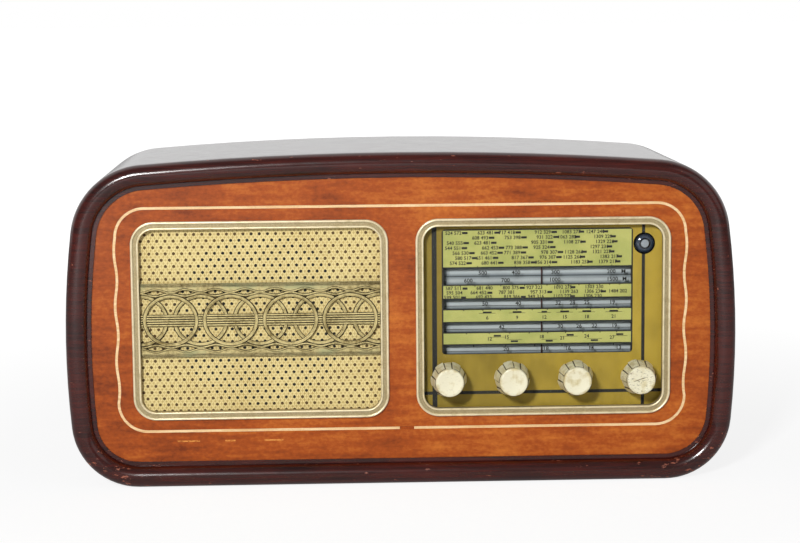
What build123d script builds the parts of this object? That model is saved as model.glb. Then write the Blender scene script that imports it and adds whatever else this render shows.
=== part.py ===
from build123d import *
import os
from math import atan2, cos, hypot, pi, sin, sqrt

# Table radio: bent plywood cabinet, bullnose front rim, grille window, dial window and four knobs.
# Millimetres. X to the right, Y from the front to the back, Z up.
# The origin is the middle of the cabinet's footprint.

os.makedirs("parts", exist_ok=True)

# Cabinet
cabinet_width = 600.0
cabinet_height = 299.0
cabinet_depth = 220.0
widest_height = 127.0
side_radius = 800.0
crown_radius = 3000.0
bottom_corner_radius = 60.0
top_corner_radius = 68.0
shell_wall = 9.0

# Front rim moulding
rim_width = 22.5
rim_depth = 24.0
bead_width = 19.0
lip_thickness = 1.5
rebate_width = 8.0

# Front panel and its stringing
panel_thickness = 6.0
panel_recess = 11.0
inlay_side_border = 13.4
inlay_lower_border = 10.5
inlay_upper_border = 11.9
inlay_corner_radius = 26.0
inlay_width = 2.3
inlay_depth = 1.2
wave_swing = 2.2
wave_count = 3
missing_centre = 3.5
missing_length = 13.0

# Windows and their frames
window_side_shift = 23.3
window_lift = 0.3
bezel_half_gap = 12.2
bezel_height_loss = 120.2
bezel_corner_radius = 20.5
bezel_face = 7.2
bezel_floor = 1.4
outer_bead_radius = 1.1
outer_bead_height = 3.4
inner_bead_radius = 0.9
inner_bead_height = 2.8
skirt_wall = 1.2
skirt_depth = 4.0
pane_border = 8.0

# Grille
sheet_thickness = 0.8
ring_side_gap = 3.2
ring_tall = 47.2
ring_wall = 3.8
ring_row_border = 0.3
ring_count = 4
fretwork_height = 66.6
fretwork_standoff = 1.6
layer_thickness = 1.1
bar_height = 10.8
bar_reeds = 5
rail_reeds = 3
rail_reed_pitch = 1.1
rail_wave_middle = 26.8
strand_middle = 23.3
wave_rise = 1.5
strand_rise = 1.2
strand_width = 2.2
bead_strip_width = 1.8
bead_strip_height = 0.5
post_radius = 1.5
post_height = 22.0
reed_share = 0.92

# Speaker
board_thickness = 8.0
board_border = 10.0
speaker_aperture = 156.0
speaker_diameter = 180.0
sheet_metal = 1.2
basket_depth = 58.0
basket_neck_radius = 43.0
basket_hole_radius = 18.0
basket_windows = 6
gasket_width = 9.0
basket_rim_border = 10.0
basket_shoulder = 2.0
basket_window_start = 0.2
basket_window_share = 0.6
basket_window_border = 4.0
basket_window_corner = 5.0
cone_wall = 0.8
cone_depth = 46.0
cap_overhang = 8.0
cap_height = 5.0
cap_taper = 30.0
coil_length = 8.0
coil_radius = 13.0
magnet_radius = 36.0
magnet_depth = 34.0
magnet_plate = 5.0
magnet_step = 2.5
speaker_bolt_circle = 85.5
speaker_bolt_count = 4
speaker_bolt_radius = 2.0
nut_radius = 3.8
nut_height = 3.2

# Output transformer on the speaker board
small_core_width = 44.0
small_core_height = 38.0
small_core_depth = 18.0
small_coil_bulge = 6.0
core_chamfer = 1.5
coil_width_share = 0.62
coil_height_share = 0.7
coil_round_share = 0.3
small_transformer_shift = -95.3
small_transformer_z = 78.0

# Dial
glass_thickness = 3.0
mask_thickness = 0.8
scale_left_shift = -90.3
scale_right_shift = 81.5
slot_shifts = [(28.3, 43.2), (6.2, 14.9), (-15.0, -6.4), (-34.8, -26.8)]
slot_inset = 1.5
spindle_hole_radius = 5.5
reflector_gap = 9.2
reflector_thickness = 1.0
reflector_over_knobs = 14.4
reflector_border = 9.0
reflector_over_window = 6.0
cheek_top = 192.0
cheek_bottom = 72.0
lamp_shifts = [-66.7, 53.3]
lamp_drop = 32.0
lamp_radius = 4.5
lamp_length = 16.0
lamp_holder_radius = 7.0
lamp_holder_depth = 13.0
eye_side_inset = 15.3
eye_drop = 18.3
eye_window_radius = 9.8
eye_radius = 10.5
eye_length = 62.0
eye_dome = 4.0
eye_base_radius = 13.0
eye_base_length = 18.0
clamp_wall = 1.5
clamp_length = 10.0

# Chassis
chassis_left_shift = -161.7
chassis_right_shift = 135.3
chassis_front = -60.0
chassis_rear = 78.0
chassis_bottom = 42.0
chassis_height = 76.0
chassis_corner = 4.0
batten_width = 18.0
batten_inset = 42.0
chassis_bolt_radius = 2.5
chassis_bolt_head = 5.0
chassis_bolt_head_height = 3.0
chassis_nut_radius = 5.0
bolt_recess = 0.5
chassis_bolt_spread = 50.0

# Controls
knob_rise = 27.0
knob_row_shift = -0.2
knob_row_margin = 43.6
knob_standoff = 4.9
knob_length = 20.5
knob_base_radius = 15.5
knob_face_radius = 12.4
knob_ribs = 6
knob_rib_width = 5.2
knob_rib_rise = 0.9
knob_rib_depth = 3.0
knob_rib_start = 0.16
knob_rib_taper = 0.85
knob_bore_depth = 14.0
knob_edge_radius = 1.0
knob_ring_width = 0.8
knob_ring_depth = 0.4
spindle_radius = 3.0
bush_radius = 5.0
bush_length = 8.0
bush_nut_radius = 8.0
bush_nut_height = 2.5
pot_radius = 13.0
pot_depth = 12.0
switch_width = 40.0
switch_height = 30.0
switch_depth = 28.0
switch_chamfer = 4.0

# Tuning drive
drum_height = 162.0
drum_radius = 49.7
drive_radius = 40.0
winding_radius = 3.5
collar_radius = 5.6
pulley_radius = 5.0
pulley_left_shift = -94.7
pulley_right_shift = 95.3
pulley_over_knobs = 16.4
groove_width = 2.4
groove_depth = 1.5
flange_thickness = 0.8
web_thickness = 2.0
hub_radius = 9.0
drum_rim_thickness = 4.0
drum_holes = 5
drum_hole_radius = 7.0
cord_radius = 0.4
pointer_plane = -71.5
drive_plane = -66.0
rail_over_knobs = 8.9
rail_plane = -75.0
rail_radius = 1.5
sleeve_wall = 1.1
sleeve_length = 10.0
pointer_width = 1.2
pointer_thickness = 1.0
pointer_clearance = 2.5
pointer_rise = 46.2
stud_radius = 2.0
stud_shoulder = 3.2

# Variable capacitor
rotor_radius = 23.0
rotor_plates = 6
plate_pitch = 4.0
plate_thickness = 1.0
rotor_start = -40.0
stator_radius = 27.0
stator_post_radius = 1.5
frame_plate = 2.0
frame_half_width = 31.0
frame_feet = 4.0
frame_top = 192.0
frame_chamfer = 10.0
foot_radius = 5.0

# Valves, cans and transformer on the chassis
socket_radius = 17.0
socket_height = 6.0
valve_base_radius = 15.5
valve_base_height = 24.0
valve_bulb_radius = 18.5
valve_shifts = {
    "converter_valve": (58.3, -25.0, 96.0),
    "amplifier_valve": (113.3, -4.0, 96.0),
    "detector_valve": (23.3, 42.0, 96.0),
    "output_valve": (-22.7, 50.0, 112.0),
    "rectifier_valve": (-66.7, -20.0, 104.0),
}
can_size = 35.0
can_height = 78.0
can_top_radius = 1.5
can_shifts = [(69.3, 32.0), (116.3, 52.0)]
filter_can_radius = 17.0
filter_can_height = 84.0
filter_can_shift = (-63.7, 38.0)
core_width = 66.0
core_height = 58.0
core_depth = 26.0
coil_bulge = 12.0
core_shift = (-122.7, 40.0)
core_feet = 3.0
core_coil_width = 39.6
core_coil_height = 38.3
core_coil_corner = 6.0
foot_inset = 10.0
foot_width = 9.0
foot_bite = 2.5

# Rear of the set
cover_thickness = 3.0
cover_inset = 1.5
vent_length = 52.0
vent_width = 5.0
vent_rows = 6
vent_columns = 6
vent_pitch_x = 66.0
vent_pitch_z = 14.0
vent_centre_height = 205.0
hatch_width = 136.0
hatch_height = 44.0
hatch_z = 80.0
strip_width = 120.0
strip_height = 30.0
strip_thickness = 5.0
strip_corner = 4.0
hatch_corner = 6.0
aerial_socket_radius = 2.1
aerial_socket_pitch = 19.0
strip_shift = -94.7
socket_edge = 14.0
selector_edge = 22.0
socket_count = 3
selector_radius = 10.0
selector_height = 9.0
selector_pin_radius = 3.0
selector_grip_width = 4.0
grommet_shift = 23.3
grommet_z = 42.0
grommet_radius = 7.0
grommet_bore = 3.6
grommet_lip = 2.0
screw_radius = 1.6
screw_head_radius = 3.4
screw_head_height = 2.0
screw_head_taper = 20.0
screw_spread = 0.55
screw_length = 12.0

# Fits
running_gap = 0.05
cord_gap = 0.3
glue_gap = 0.05
seat_gap = 0.2
hole_gap = 0.25

# Worked out from the sizes above
half_width = cabinet_width / 2
rim_front = -cabinet_depth / 2
rim_back = rim_front + rim_depth
shell_rear = cabinet_depth / 2
panel_front = rim_front + panel_recess
panel_back = panel_front + panel_thickness
window_offset = half_width / 2 - window_side_shift
window_height = cabinet_height / 2 + window_lift
bezel_width = 2 * (window_offset - bezel_half_gap)
bezel_height = cabinet_height - bezel_height_loss
inlay_half_width = window_offset + bezel_width / 2 + inlay_side_border
inlay_bottom = window_height - bezel_height / 2 - inlay_lower_border
inlay_top = window_height + bezel_height / 2 + inlay_upper_border
opening_width = bezel_width - 2 * bezel_face
opening_height = bezel_height - 2 * bezel_face
opening_bottom = window_height - opening_height / 2
opening_top = window_height + opening_height / 2
skirt_outside = skirt_wall + seat_gap
window_width = opening_width + 2 * skirt_outside
window_tall = opening_height + 2 * skirt_outside
window_radius = bezel_corner_radius - bezel_face + skirt_outside
pane_width = window_width + 2 * pane_border
pane_height = window_tall + 2 * pane_border
sheet_back = panel_back + sheet_thickness
board_back = sheet_back + board_thickness
glass_back = panel_back + glass_thickness
mask_back = glass_back + mask_thickness
reflector_front = mask_back + reflector_gap
reflector_back = reflector_front + reflector_thickness
chassis_top = chassis_bottom + chassis_height
apron_back = chassis_front + sheet_metal
knob_back = panel_front - knob_standoff
knob_front = knob_back - knob_length
spindle_front = knob_back - knob_bore_depth
grille_x = -window_offset
dial_x = window_offset
knob_pitch = (opening_width - knob_row_margin) / 3
knob_row = dial_x + knob_row_shift
knob_places = [knob_row + (index - 1.5) * knob_pitch for index in range(4)]
tuning_x = knob_places[3]
knob_axis_height = opening_bottom + knob_rise
ring_pitch = opening_width / ring_count - ring_row_border / 2
ring_width = ring_pitch - ring_side_gap
small_transformer_x = grille_x + small_transformer_shift
scale_left = dial_x + scale_left_shift
scale_right = dial_x + scale_right_shift
slot_edges = [(window_height + low, window_height + high) for low, high in slot_shifts]
reflector_bottom = knob_axis_height + reflector_over_knobs
reflector_top = opening_top + reflector_over_window
lamp_places = [dial_x + shift for shift in lamp_shifts]
lamp_height = reflector_top - lamp_drop
eye_x = dial_x + opening_width / 2 - eye_side_inset
eye_z = opening_top - eye_drop
chassis_left = dial_x + chassis_left_shift
chassis_right = dial_x + chassis_right_shift
pulley_left = dial_x + pulley_left_shift
pulley_right = dial_x + pulley_right_shift
pulley_height = knob_axis_height + pulley_over_knobs
rail_height = knob_axis_height + rail_over_knobs
pointer_top = window_height + pointer_rise
valve_places = {name: (dial_x + shift, y, height) for name, (shift, y, height) in valve_shifts.items()}
can_places = [(dial_x + shift, y) for shift, y in can_shifts]
filter_can_place = (dial_x + filter_can_shift[0], filter_can_shift[1])
core_place = (dial_x + core_shift[0], core_shift[1])
strip_x = dial_x + strip_shift
grommet_x = dial_x + grommet_shift
cheek_left = dial_x - pane_width / 2 + reflector_border
cheek_right = dial_x + pane_width / 2 - reflector_border
cord_run = cord_gap + cord_radius
valve_seat = chassis_top + socket_height
frame_bottom = chassis_top + frame_feet
frame_front = rotor_start - 2 * plate_pitch
frame_rear = rotor_start + (rotor_plates + 1) * plate_pitch


def facing(y):
    """Plane at depth y that faces the front: local x is X and local y is Z."""
    return Plane(origin=(0, y, 0), x_dir=(1, 0, 0), z_dir=(0, -1, 0))


def lathe_plane(x, z):
    """Plane through an axis along Y: local x is the radius and local y is Y."""
    return Plane(origin=(x, 0, z), x_dir=(1, 0, 0), z_dir=(0, 0, 1))


def lathe_axis(x, z):
    """Axis along Y through a point of the front view."""
    return Axis((x, 0, z), (0, 1, 0))


def arcs_crossing(first_centre, first_radius, second_centre, second_radius):
    """Point, on the right and above, where two circles cross."""
    dx = second_centre[0] - first_centre[0]
    dz = second_centre[1] - first_centre[1]
    reach = hypot(dx, dz)
    along = (first_radius**2 - second_radius**2 + reach**2) / (2 * reach)
    across = sqrt(first_radius**2 - along**2)
    x = first_centre[0] + (dx * along - dz * across) / reach
    z = first_centre[1] + (dz * along + dx * across) / reach
    return x, z


def cabinet_outline(inset=0.0):
    """Face of the cabinet's front outline, moved in by inset: bowed sides, arched top, round corners."""
    side_centre = half_width - side_radius
    crown_centre = cabinet_height - crown_radius
    floor_x = side_centre + sqrt((side_radius - inset) ** 2 - (widest_height - inset) ** 2)
    shoulder_x, shoulder_z = arcs_crossing(
        (side_centre, widest_height), side_radius - inset, (0, crown_centre), crown_radius - inset
    )
    side_x = half_width - inset
    top_z = cabinet_height - inset
    with BuildSketch() as outline:
        with BuildLine():
            Line((-floor_x, inset), (floor_x, inset))
            ThreePointArc((floor_x, inset), (side_x, widest_height), (shoulder_x, shoulder_z))
            ThreePointArc((shoulder_x, shoulder_z), (0, top_z), (-shoulder_x, shoulder_z))
            ThreePointArc((-shoulder_x, shoulder_z), (-side_x, widest_height), (-floor_x, inset))
        make_face()
        fillet(outline.vertices().group_by(Axis.Y)[0], bottom_corner_radius - inset)
        fillet(outline.vertices().group_by(Axis.Y)[-1], top_corner_radius - inset)
    return outline.sketch


def rounded_window(centre_x, width, height, radius):
    """Rounded rectangle round a window's centre."""
    with BuildSketch() as window:
        with Locations((centre_x, window_height)):
            RectangleRounded(width, height, radius)
    return window.sketch


def belt_loop(wheels):
    """Draw a cord that runs counterclockwise round wheels, each given as x, z and radius."""
    touches = []
    for here, there in zip(wheels, wheels[1:] + wheels[:1]):
        dx = there[0] - here[0]
        dz = there[1] - here[1]
        reach = hypot(dx, dz)
        along = (here[2] - there[2]) / reach
        across = sqrt(1 - along**2)
        nx = (dx * along + dz * across) / reach
        nz = (dz * along - dx * across) / reach
        leave = (here[0] + here[2] * nx, here[1] + here[2] * nz)
        arrive = (there[0] + there[2] * nx, there[1] + there[2] * nz)
        touches.append((leave, arrive))
        Line(leave, arrive)
    for index, (x, z, radius) in enumerate(wheels):
        start = touches[index - 1][1]
        end = touches[index][0]
        first = atan2(start[1] - z, start[0] - x)
        last = atan2(end[1] - z, end[0] - x)
        if last < first:
            last += 2 * pi
        middle = (first + last) / 2
        ThreePointArc(start, (x + radius * cos(middle), z + radius * sin(middle)), end)


def wave_line(middle, rise, waves):
    """Draw a wave of arcs along X with a trough at the centre, or a crest where rise is negative."""
    half = wave_pitch / 2
    for index in range(-2 * waves, 2 * waves):
        x = index * half + half / 2
        swing = rise if index % 2 == 0 else -rise
        ThreePointArc((x, middle), (x + half / 2, middle + swing), (x + half, middle))


def wavy_strip(lower, lower_rise, upper, upper_rise):
    """Face between two waves, trimmed to the length of the fretwork."""
    waves = ring_count // 2 + 1
    left = (1 / 4 - waves) * wave_pitch
    right = (1 / 4 + waves) * wave_pitch
    with BuildSketch() as strip:
        with BuildLine():
            wave_line(lower, lower_rise, waves)
            Line((right, lower), (right, upper))
            if upper_rise:
                wave_line(upper, upper_rise, waves)
            else:
                Line((left, upper), (right, upper))
            Line((left, lower), (left, upper))
        make_face()
        Rectangle(fretwork_length, fretwork_height, mode=Mode.INTERSECT)
    return strip.sketch


def path_on(plane, outline):
    """Closed path round an outline, placed on a plane."""
    return outline.face().outer_wire().moved(plane.location)


def section_plane(path):
    """Plane across the start of a path on the underside: local x goes inwards and local y to the front."""
    return Plane(origin=path @ 0, x_dir=(0, 0, 1), z_dir=(1, 0, 0))


def finish(part, name):
    """Label a piece and write it to its own file."""
    part.label = name
    export_step(part, f"parts/{name}.step")


wave_pitch = ring_pitch / 2
fretwork_length = opening_width - 2 * seat_gap
outer_outline = cabinet_outline()
inner_outline = cabinet_outline(shell_wall)
panel_outline = cabinet_outline(rim_width - rebate_width + seat_gap)
cover_outline = cabinet_outline(cover_inset)
grille_window = rounded_window(grille_x, window_width, window_tall, window_radius)
dial_window = rounded_window(dial_x, window_width, window_tall, window_radius)


def screw_height(x, edge):
    """Height of a cover screw in the middle of the shell's wall."""
    middle = shell_wall / 2
    if edge == "bottom":
        return middle
    return cabinet_height - crown_radius + sqrt((crown_radius - middle) ** 2 - x**2)


screw_columns = [half_width * share for share in (-screw_spread, 0.0, screw_spread)]
screw_points = [(x, screw_height(x, edge)) for x in screw_columns for edge in ("top", "bottom")]
batten_places = [chassis_left + batten_inset, chassis_right - batten_inset]
chassis_middle = (chassis_front + chassis_rear) / 2
bolt_points = [
    (x, chassis_middle + side * chassis_bolt_spread)
    for x in batten_places
    for side in (-1, 1)
]
underside = Plane(origin=(0, 0, 0), x_dir=(1, 0, 0), z_dir=(0, 0, -1))
under_bolts = [(x, -y) for x, y in bolt_points]

# Cabinet shell: a bent plywood tube behind the rim
with BuildPart() as cabinet_shell:
    with BuildSketch(facing(rim_back)):
        add(outer_outline)
        add(inner_outline, mode=Mode.SUBTRACT)
    extrude(amount=-(shell_rear - rim_back))
    with BuildSketch(facing(shell_rear)):
        with Locations(*screw_points):
            Circle(screw_radius + hole_gap)
    extrude(amount=screw_length + hole_gap, mode=Mode.SUBTRACT)
    with Locations(underside):
        with Locations(*under_bolts):
            CounterBoreHole(
                radius=chassis_bolt_radius + hole_gap,
                counter_bore_radius=chassis_bolt_head + hole_gap,
                counter_bore_depth=chassis_bolt_head_height,
                depth=shell_wall,
            )
finish(cabinet_shell.part, "cabinet_shell")

# Front rim: a bullnose moulding with a flat lip, swept round the outline and rebated for the panel
lip_back = rim_depth - panel_recess
lip_front = lip_back + lip_thickness
rebate_line = rim_width - rebate_width
rim_path = path_on(facing(rim_back), outer_outline)
with BuildPart() as front_rim:
    with BuildSketch(section_plane(rim_path)):
        with BuildLine():
            Line((0, 0), (0, lip_front))
            ThreePointArc((0, lip_front), (bead_width / 2, rim_depth), (bead_width, lip_front))
            Polyline(
                (bead_width, lip_front),
                (rim_width, lip_front),
                (rim_width, lip_back),
                (rebate_line, lip_back),
                (rebate_line, 0),
                (0, 0),
            )
        make_face()
    sweep(path=rim_path)
finish(front_rim.part, "front_rim")


def inlay_line(shift):
    """Closed outline of the stringing's path, moved out by shift, wavy on its short sides."""
    reach = inlay_half_width + shift
    low = inlay_bottom - shift
    high = inlay_top + shift
    corner = inlay_corner_radius + shift
    side = high - low - 2 * corner
    wave = side / (2 * wave_count)
    with BuildSketch() as outline:
        with BuildLine():
            Line((corner - reach, low), (reach - corner, low))
            Line((corner - reach, high), (reach - corner, high))
            for face in (-1, 1):
                for end, start_z in ((low, low + corner), (high, high - corner)):
                    slant = corner * (1 - sqrt(1 / 2))
                    bend = (face * (reach - slant), end + (slant if end == low else -slant))
                    ThreePointArc((face * (reach - corner), end), bend, (face * reach, start_z))
                for index in range(2 * wave_count):
                    z = low + corner + index * wave
                    swing = wave_swing / 2 if index % 2 else -wave_swing / 2
                    middle = (face * (reach + swing), z + wave / 2)
                    ThreePointArc((face * reach, z), middle, (face * reach, z + wave))
        make_face()
    return outline.sketch


inlay_outside = inlay_line(inlay_width / 2)
inlay_inside = inlay_line(-inlay_width / 2)
groove_outside = inlay_line(inlay_width / 2 + glue_gap)
groove_inside = inlay_line(-inlay_width / 2 - glue_gap)

# Front panel: veneered board with two windows and the groove for the stringing
with BuildPart() as front_panel:
    with BuildSketch(facing(panel_front)):
        add(panel_outline)
        add(grille_window, mode=Mode.SUBTRACT)
        add(dial_window, mode=Mode.SUBTRACT)
    extrude(amount=-panel_thickness)
    with BuildSketch(facing(panel_front)):
        add(groove_outside)
        add(groove_inside, mode=Mode.SUBTRACT)
    extrude(amount=-inlay_depth, mode=Mode.SUBTRACT)
finish(front_panel.part, "front_panel")

# Stringing: a thin strip in its groove, with a piece gone at the bottom
with BuildPart() as inlay_string:
    with BuildSketch(facing(panel_front)):
        add(inlay_outside)
        add(inlay_inside, mode=Mode.SUBTRACT)
        with Locations((missing_centre, inlay_bottom)):
            Rectangle(missing_length, 2 * inlay_width, mode=Mode.SUBTRACT)
    extrude(amount=-inlay_depth)
finish(inlay_string.part, "inlay_string")

# Window frames: pressed metal with a bead along each edge and a skirt into the window
outer_straight = outer_bead_height - outer_bead_radius
inner_straight = inner_bead_height - inner_bead_radius
inner_bead_start = bezel_face - 2 * inner_bead_radius
for name, centre_x in (("grille_bezel", grille_x), ("dial_bezel", dial_x)):
    edge = rounded_window(centre_x, bezel_width, bezel_height, bezel_corner_radius)
    bezel_path = path_on(facing(panel_front), edge)
    start = Vector(centre_x, panel_front, window_height - bezel_height / 2)
    with BuildPart() as bezel:
        with BuildSketch(Plane(origin=start, x_dir=(0, 0, 1), z_dir=(1, 0, 0))):
            with BuildLine():
                Line((0, 0), (0, outer_straight))
                ThreePointArc(
                    (0, outer_straight),
                    (outer_bead_radius, outer_bead_height),
                    (2 * outer_bead_radius, outer_straight),
                )
                Polyline(
                    (2 * outer_bead_radius, outer_straight),
                    (2 * outer_bead_radius, bezel_floor),
                    (inner_bead_start, bezel_floor),
                    (inner_bead_start, inner_straight),
                )
                ThreePointArc(
                    (inner_bead_start, inner_straight),
                    (bezel_face - inner_bead_radius, inner_bead_height),
                    (bezel_face, inner_straight),
                )
                Polyline(
                    (bezel_face, inner_straight),
                    (bezel_face, -skirt_depth),
                    (bezel_face - skirt_wall, -skirt_depth),
                    (bezel_face - skirt_wall, 0),
                    (0, 0),
                )
            make_face()
        sweep(path=bezel_path)
    finish(bezel.part, name)

# Grille sheet behind its window
with BuildPart() as grille_sheet:
    with BuildSketch(facing(panel_back)):
        with Locations((grille_x, window_height)):
            RectangleRounded(pane_width, pane_height, window_radius)
    extrude(amount=-sheet_thickness)
finish(grille_sheet.part, "grille_sheet")

# Fretwork band: back rings, strands and bar, then front rings and waved rails, on short posts
back_face = panel_back - fretwork_standoff
middle_face = back_face - layer_thickness
front_face = middle_face - layer_thickness
front_rings = [((index - (ring_count - 1) / 2) * ring_pitch, 0) for index in range(ring_count)]
back_rings = [((index - ring_count / 2) * ring_pitch, 0) for index in range(ring_count + 1)]
post_x = [(index - (2 * ring_count - 1) / 2) * wave_pitch for index in range(1, 2 * ring_count - 1)]
rail_inner_edge = fretwork_height / 2 - rail_reeds * rail_reed_pitch


def band_plane(y):
    """Plane of the fretwork at depth y, with its origin at the band's centre."""
    return Plane(origin=(grille_x, y, window_height), x_dir=(1, 0, 0), z_dir=(0, -1, 0))


def ring_row(places):
    """Face of a row of rings, trimmed to the length of the band."""
    with BuildSketch() as row:
        with Locations(*places):
            Ellipse(ring_width / 2, ring_tall / 2)
        with Locations(*places):
            Ellipse(ring_width / 2 - ring_wall, ring_tall / 2 - ring_wall, mode=Mode.SUBTRACT)
        Rectangle(fretwork_length, fretwork_height, mode=Mode.INTERSECT)
    return row.sketch


ring_hoops = ring_row(front_rings)
rear_hoops = ring_row(back_rings)
half_strip = strand_width / 2
strand = wavy_strip(strand_middle - half_strip, -strand_rise, strand_middle + half_strip, -strand_rise)
rail_plate = wavy_strip(rail_wave_middle, wave_rise, rail_inner_edge, 0)
half_bead = bead_strip_width / 2
rail_bead = wavy_strip(rail_wave_middle - half_bead, wave_rise, rail_wave_middle + half_bead, wave_rise)
bar_reed_radius = bar_height / bar_reeds / 2
bar_reed_places = [
    (middle_face, (index - (bar_reeds - 1) / 2) * 2 * bar_reed_radius) for index in range(bar_reeds)
]
rail_reed_places = [
    (middle_face, side * (fretwork_height / 2 - (index + 0.5) * rail_reed_pitch))
    for index in range(rail_reeds)
    for side in (-1, 1)
]
lengthwise = Plane(origin=(grille_x, 0, window_height), x_dir=(0, 1, 0), z_dir=(1, 0, 0))
with BuildPart() as grille_fretwork:
    with BuildSketch(band_plane(back_face)):
        add(rear_hoops)
        add(strand)
        add(mirror(strand, about=Plane.XZ, mode=Mode.PRIVATE))
        Rectangle(fretwork_length, bar_height)
        for side in (-1, 1):
            rail_centre = side * (fretwork_height / 2 + rail_inner_edge) / 2
            with Locations((0, rail_centre)):
                Rectangle(fretwork_length, fretwork_height / 2 - rail_inner_edge)
    extrude(amount=layer_thickness)
    with BuildSketch(band_plane(back_face)):
        add(rail_plate)
        add(mirror(rail_plate, about=Plane.XZ, mode=Mode.PRIVATE))
    extrude(amount=2 * layer_thickness)
    with BuildSketch(band_plane(middle_face)):
        add(ring_hoops)
    extrude(amount=layer_thickness)
    with BuildSketch(band_plane(front_face)):
        add(rail_bead)
        add(mirror(rail_bead, about=Plane.XZ, mode=Mode.PRIVATE))
    extrude(amount=bead_strip_height)
    with BuildSketch(lengthwise):
        with Locations(*bar_reed_places):
            Circle(bar_reed_radius * reed_share)
        with Locations(*rail_reed_places):
            Circle(rail_reed_pitch / 2 * reed_share)
    extrude(amount=fretwork_length / 2, both=True)
    with BuildSketch(band_plane(back_face)):
        with Locations(*[(x, side * post_height) for x in post_x for side in (-1, 1)]):
            Circle(post_radius)
    extrude(amount=-fretwork_standoff)
finish(grille_fretwork.part, "grille_fretwork")

# Speaker board: plywood baffle behind the grille sheet
board_width = pane_width - pane_border
board_height = pane_height + board_border
with BuildPart() as speaker_board:
    with BuildSketch(facing(sheet_back)):
        with Locations((grille_x, window_height)):
            Rectangle(board_width, board_height)
            Circle(speaker_aperture / 2, mode=Mode.SUBTRACT)
            with PolarLocations(speaker_bolt_circle, speaker_bolt_count, start_angle=45):
                Circle(speaker_bolt_radius + hole_gap, mode=Mode.SUBTRACT)
    extrude(amount=-board_thickness)
finish(speaker_board.part, "speaker_board")

# Speaker basket: flange, shoulder for the cone's gasket, tapered wall with windows, neck plate
rim_radius = speaker_diameter / 2
gasket_outside = rim_radius - basket_rim_border
basket_window_length = gasket_outside - basket_neck_radius - basket_window_border
basket_start = board_back
with BuildPart() as speaker_basket:
    with BuildSketch(lathe_plane(grille_x, window_height)):
        with BuildLine():
            Polyline(
                (rim_radius, basket_start),
                (rim_radius, basket_start + sheet_metal),
                (gasket_outside + sheet_metal, basket_start + sheet_metal),
                (gasket_outside + sheet_metal, basket_start + basket_shoulder + sheet_metal),
                (basket_neck_radius, basket_start + basket_depth),
                (basket_hole_radius, basket_start + basket_depth),
                (basket_hole_radius, basket_start + basket_depth - sheet_metal),
                (basket_neck_radius - sheet_metal, basket_start + basket_depth - sheet_metal),
                (gasket_outside - sheet_metal, basket_start + basket_shoulder + sheet_metal),
                (gasket_outside - gasket_width, basket_start + basket_shoulder + sheet_metal),
                (gasket_outside - gasket_width, basket_start + basket_shoulder),
                (gasket_outside, basket_start + basket_shoulder),
                (gasket_outside, basket_start),
                close=True,
            )
        make_face()
    revolve(axis=lathe_axis(grille_x, window_height))
    with BuildSketch(facing(basket_start + basket_window_start * basket_depth)):
        with Locations((grille_x, window_height)):
            with PolarLocations((gasket_outside + basket_neck_radius) / 2, basket_windows):
                RectangleRounded(basket_window_length, basket_window_share * basket_neck_radius, basket_window_corner)
    extrude(amount=-basket_window_share * basket_depth, mode=Mode.SUBTRACT)
    with BuildSketch(facing(basket_start)):
        with Locations((grille_x, window_height)):
            with PolarLocations(speaker_bolt_circle, speaker_bolt_count, start_angle=45):
                Circle(speaker_bolt_radius + hole_gap)
    extrude(amount=-sheet_metal, mode=Mode.SUBTRACT)
finish(speaker_basket.part, "speaker_basket")

# Speaker cone: gasket ring, paper cone, dust cap and coil former in one pressed piece
gasket_back = basket_start + basket_shoulder
gasket_radius = gasket_outside - seat_gap
cone_mouth = gasket_outside - gasket_width
cone_end = gasket_back + cone_depth
cone_slope = cone_depth / (cone_mouth - coil_radius)
wall_drop = cone_wall * hypot(1, cone_slope)
cap_radius = coil_radius + cap_overhang
cap_level = cone_end - cap_overhang * cone_slope
with BuildPart() as speaker_cone:
    with BuildSketch(lathe_plane(grille_x, window_height)):
        with BuildLine():
            Polyline(
                (coil_radius, cone_end),
                (cone_mouth, gasket_back),
                (gasket_radius, gasket_back),
                (gasket_radius, basket_start + seat_gap),
                (gasket_radius - gasket_width / 2, basket_start + seat_gap),
                (gasket_radius - gasket_width / 2, gasket_back - wall_drop),
                (cone_mouth, gasket_back - wall_drop),
                (coil_radius, cone_end - wall_drop),
                close=True,
            )
        make_face()
    revolve(axis=lathe_axis(grille_x, window_height))
    with BuildSketch(facing(cone_end - wall_drop / 2)):
        with Locations((grille_x, window_height)):
            Circle(coil_radius + cone_wall)
            Circle(coil_radius, mode=Mode.SUBTRACT)
    extrude(amount=-coil_length)
    with BuildSketch(facing(cap_level - wall_drop / 2)):
        with Locations((grille_x, window_height)):
            Circle(cap_radius)
    extrude(amount=cap_height, taper=cap_taper)
finish(speaker_cone.part, "speaker_cone")

# Speaker magnet: plates and ring stacked on the basket's neck
magnet_start = basket_start + basket_depth
with BuildPart() as speaker_magnet:
    with BuildSketch(lathe_plane(grille_x, window_height)):
        with BuildLine():
            Polyline(
                (0, magnet_start),
                (magnet_radius - magnet_step, magnet_start),
                (magnet_radius - magnet_step, magnet_start + magnet_plate),
                (magnet_radius, magnet_start + magnet_plate),
                (magnet_radius, magnet_start + magnet_depth - magnet_plate),
                (magnet_radius - magnet_step, magnet_start + magnet_depth - magnet_plate),
                (magnet_radius - magnet_step, magnet_start + magnet_depth),
                (0, magnet_start + magnet_depth),
                close=True,
            )
        make_face()
    revolve(axis=lathe_axis(grille_x, window_height))
finish(speaker_magnet.part, "speaker_magnet")

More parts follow.
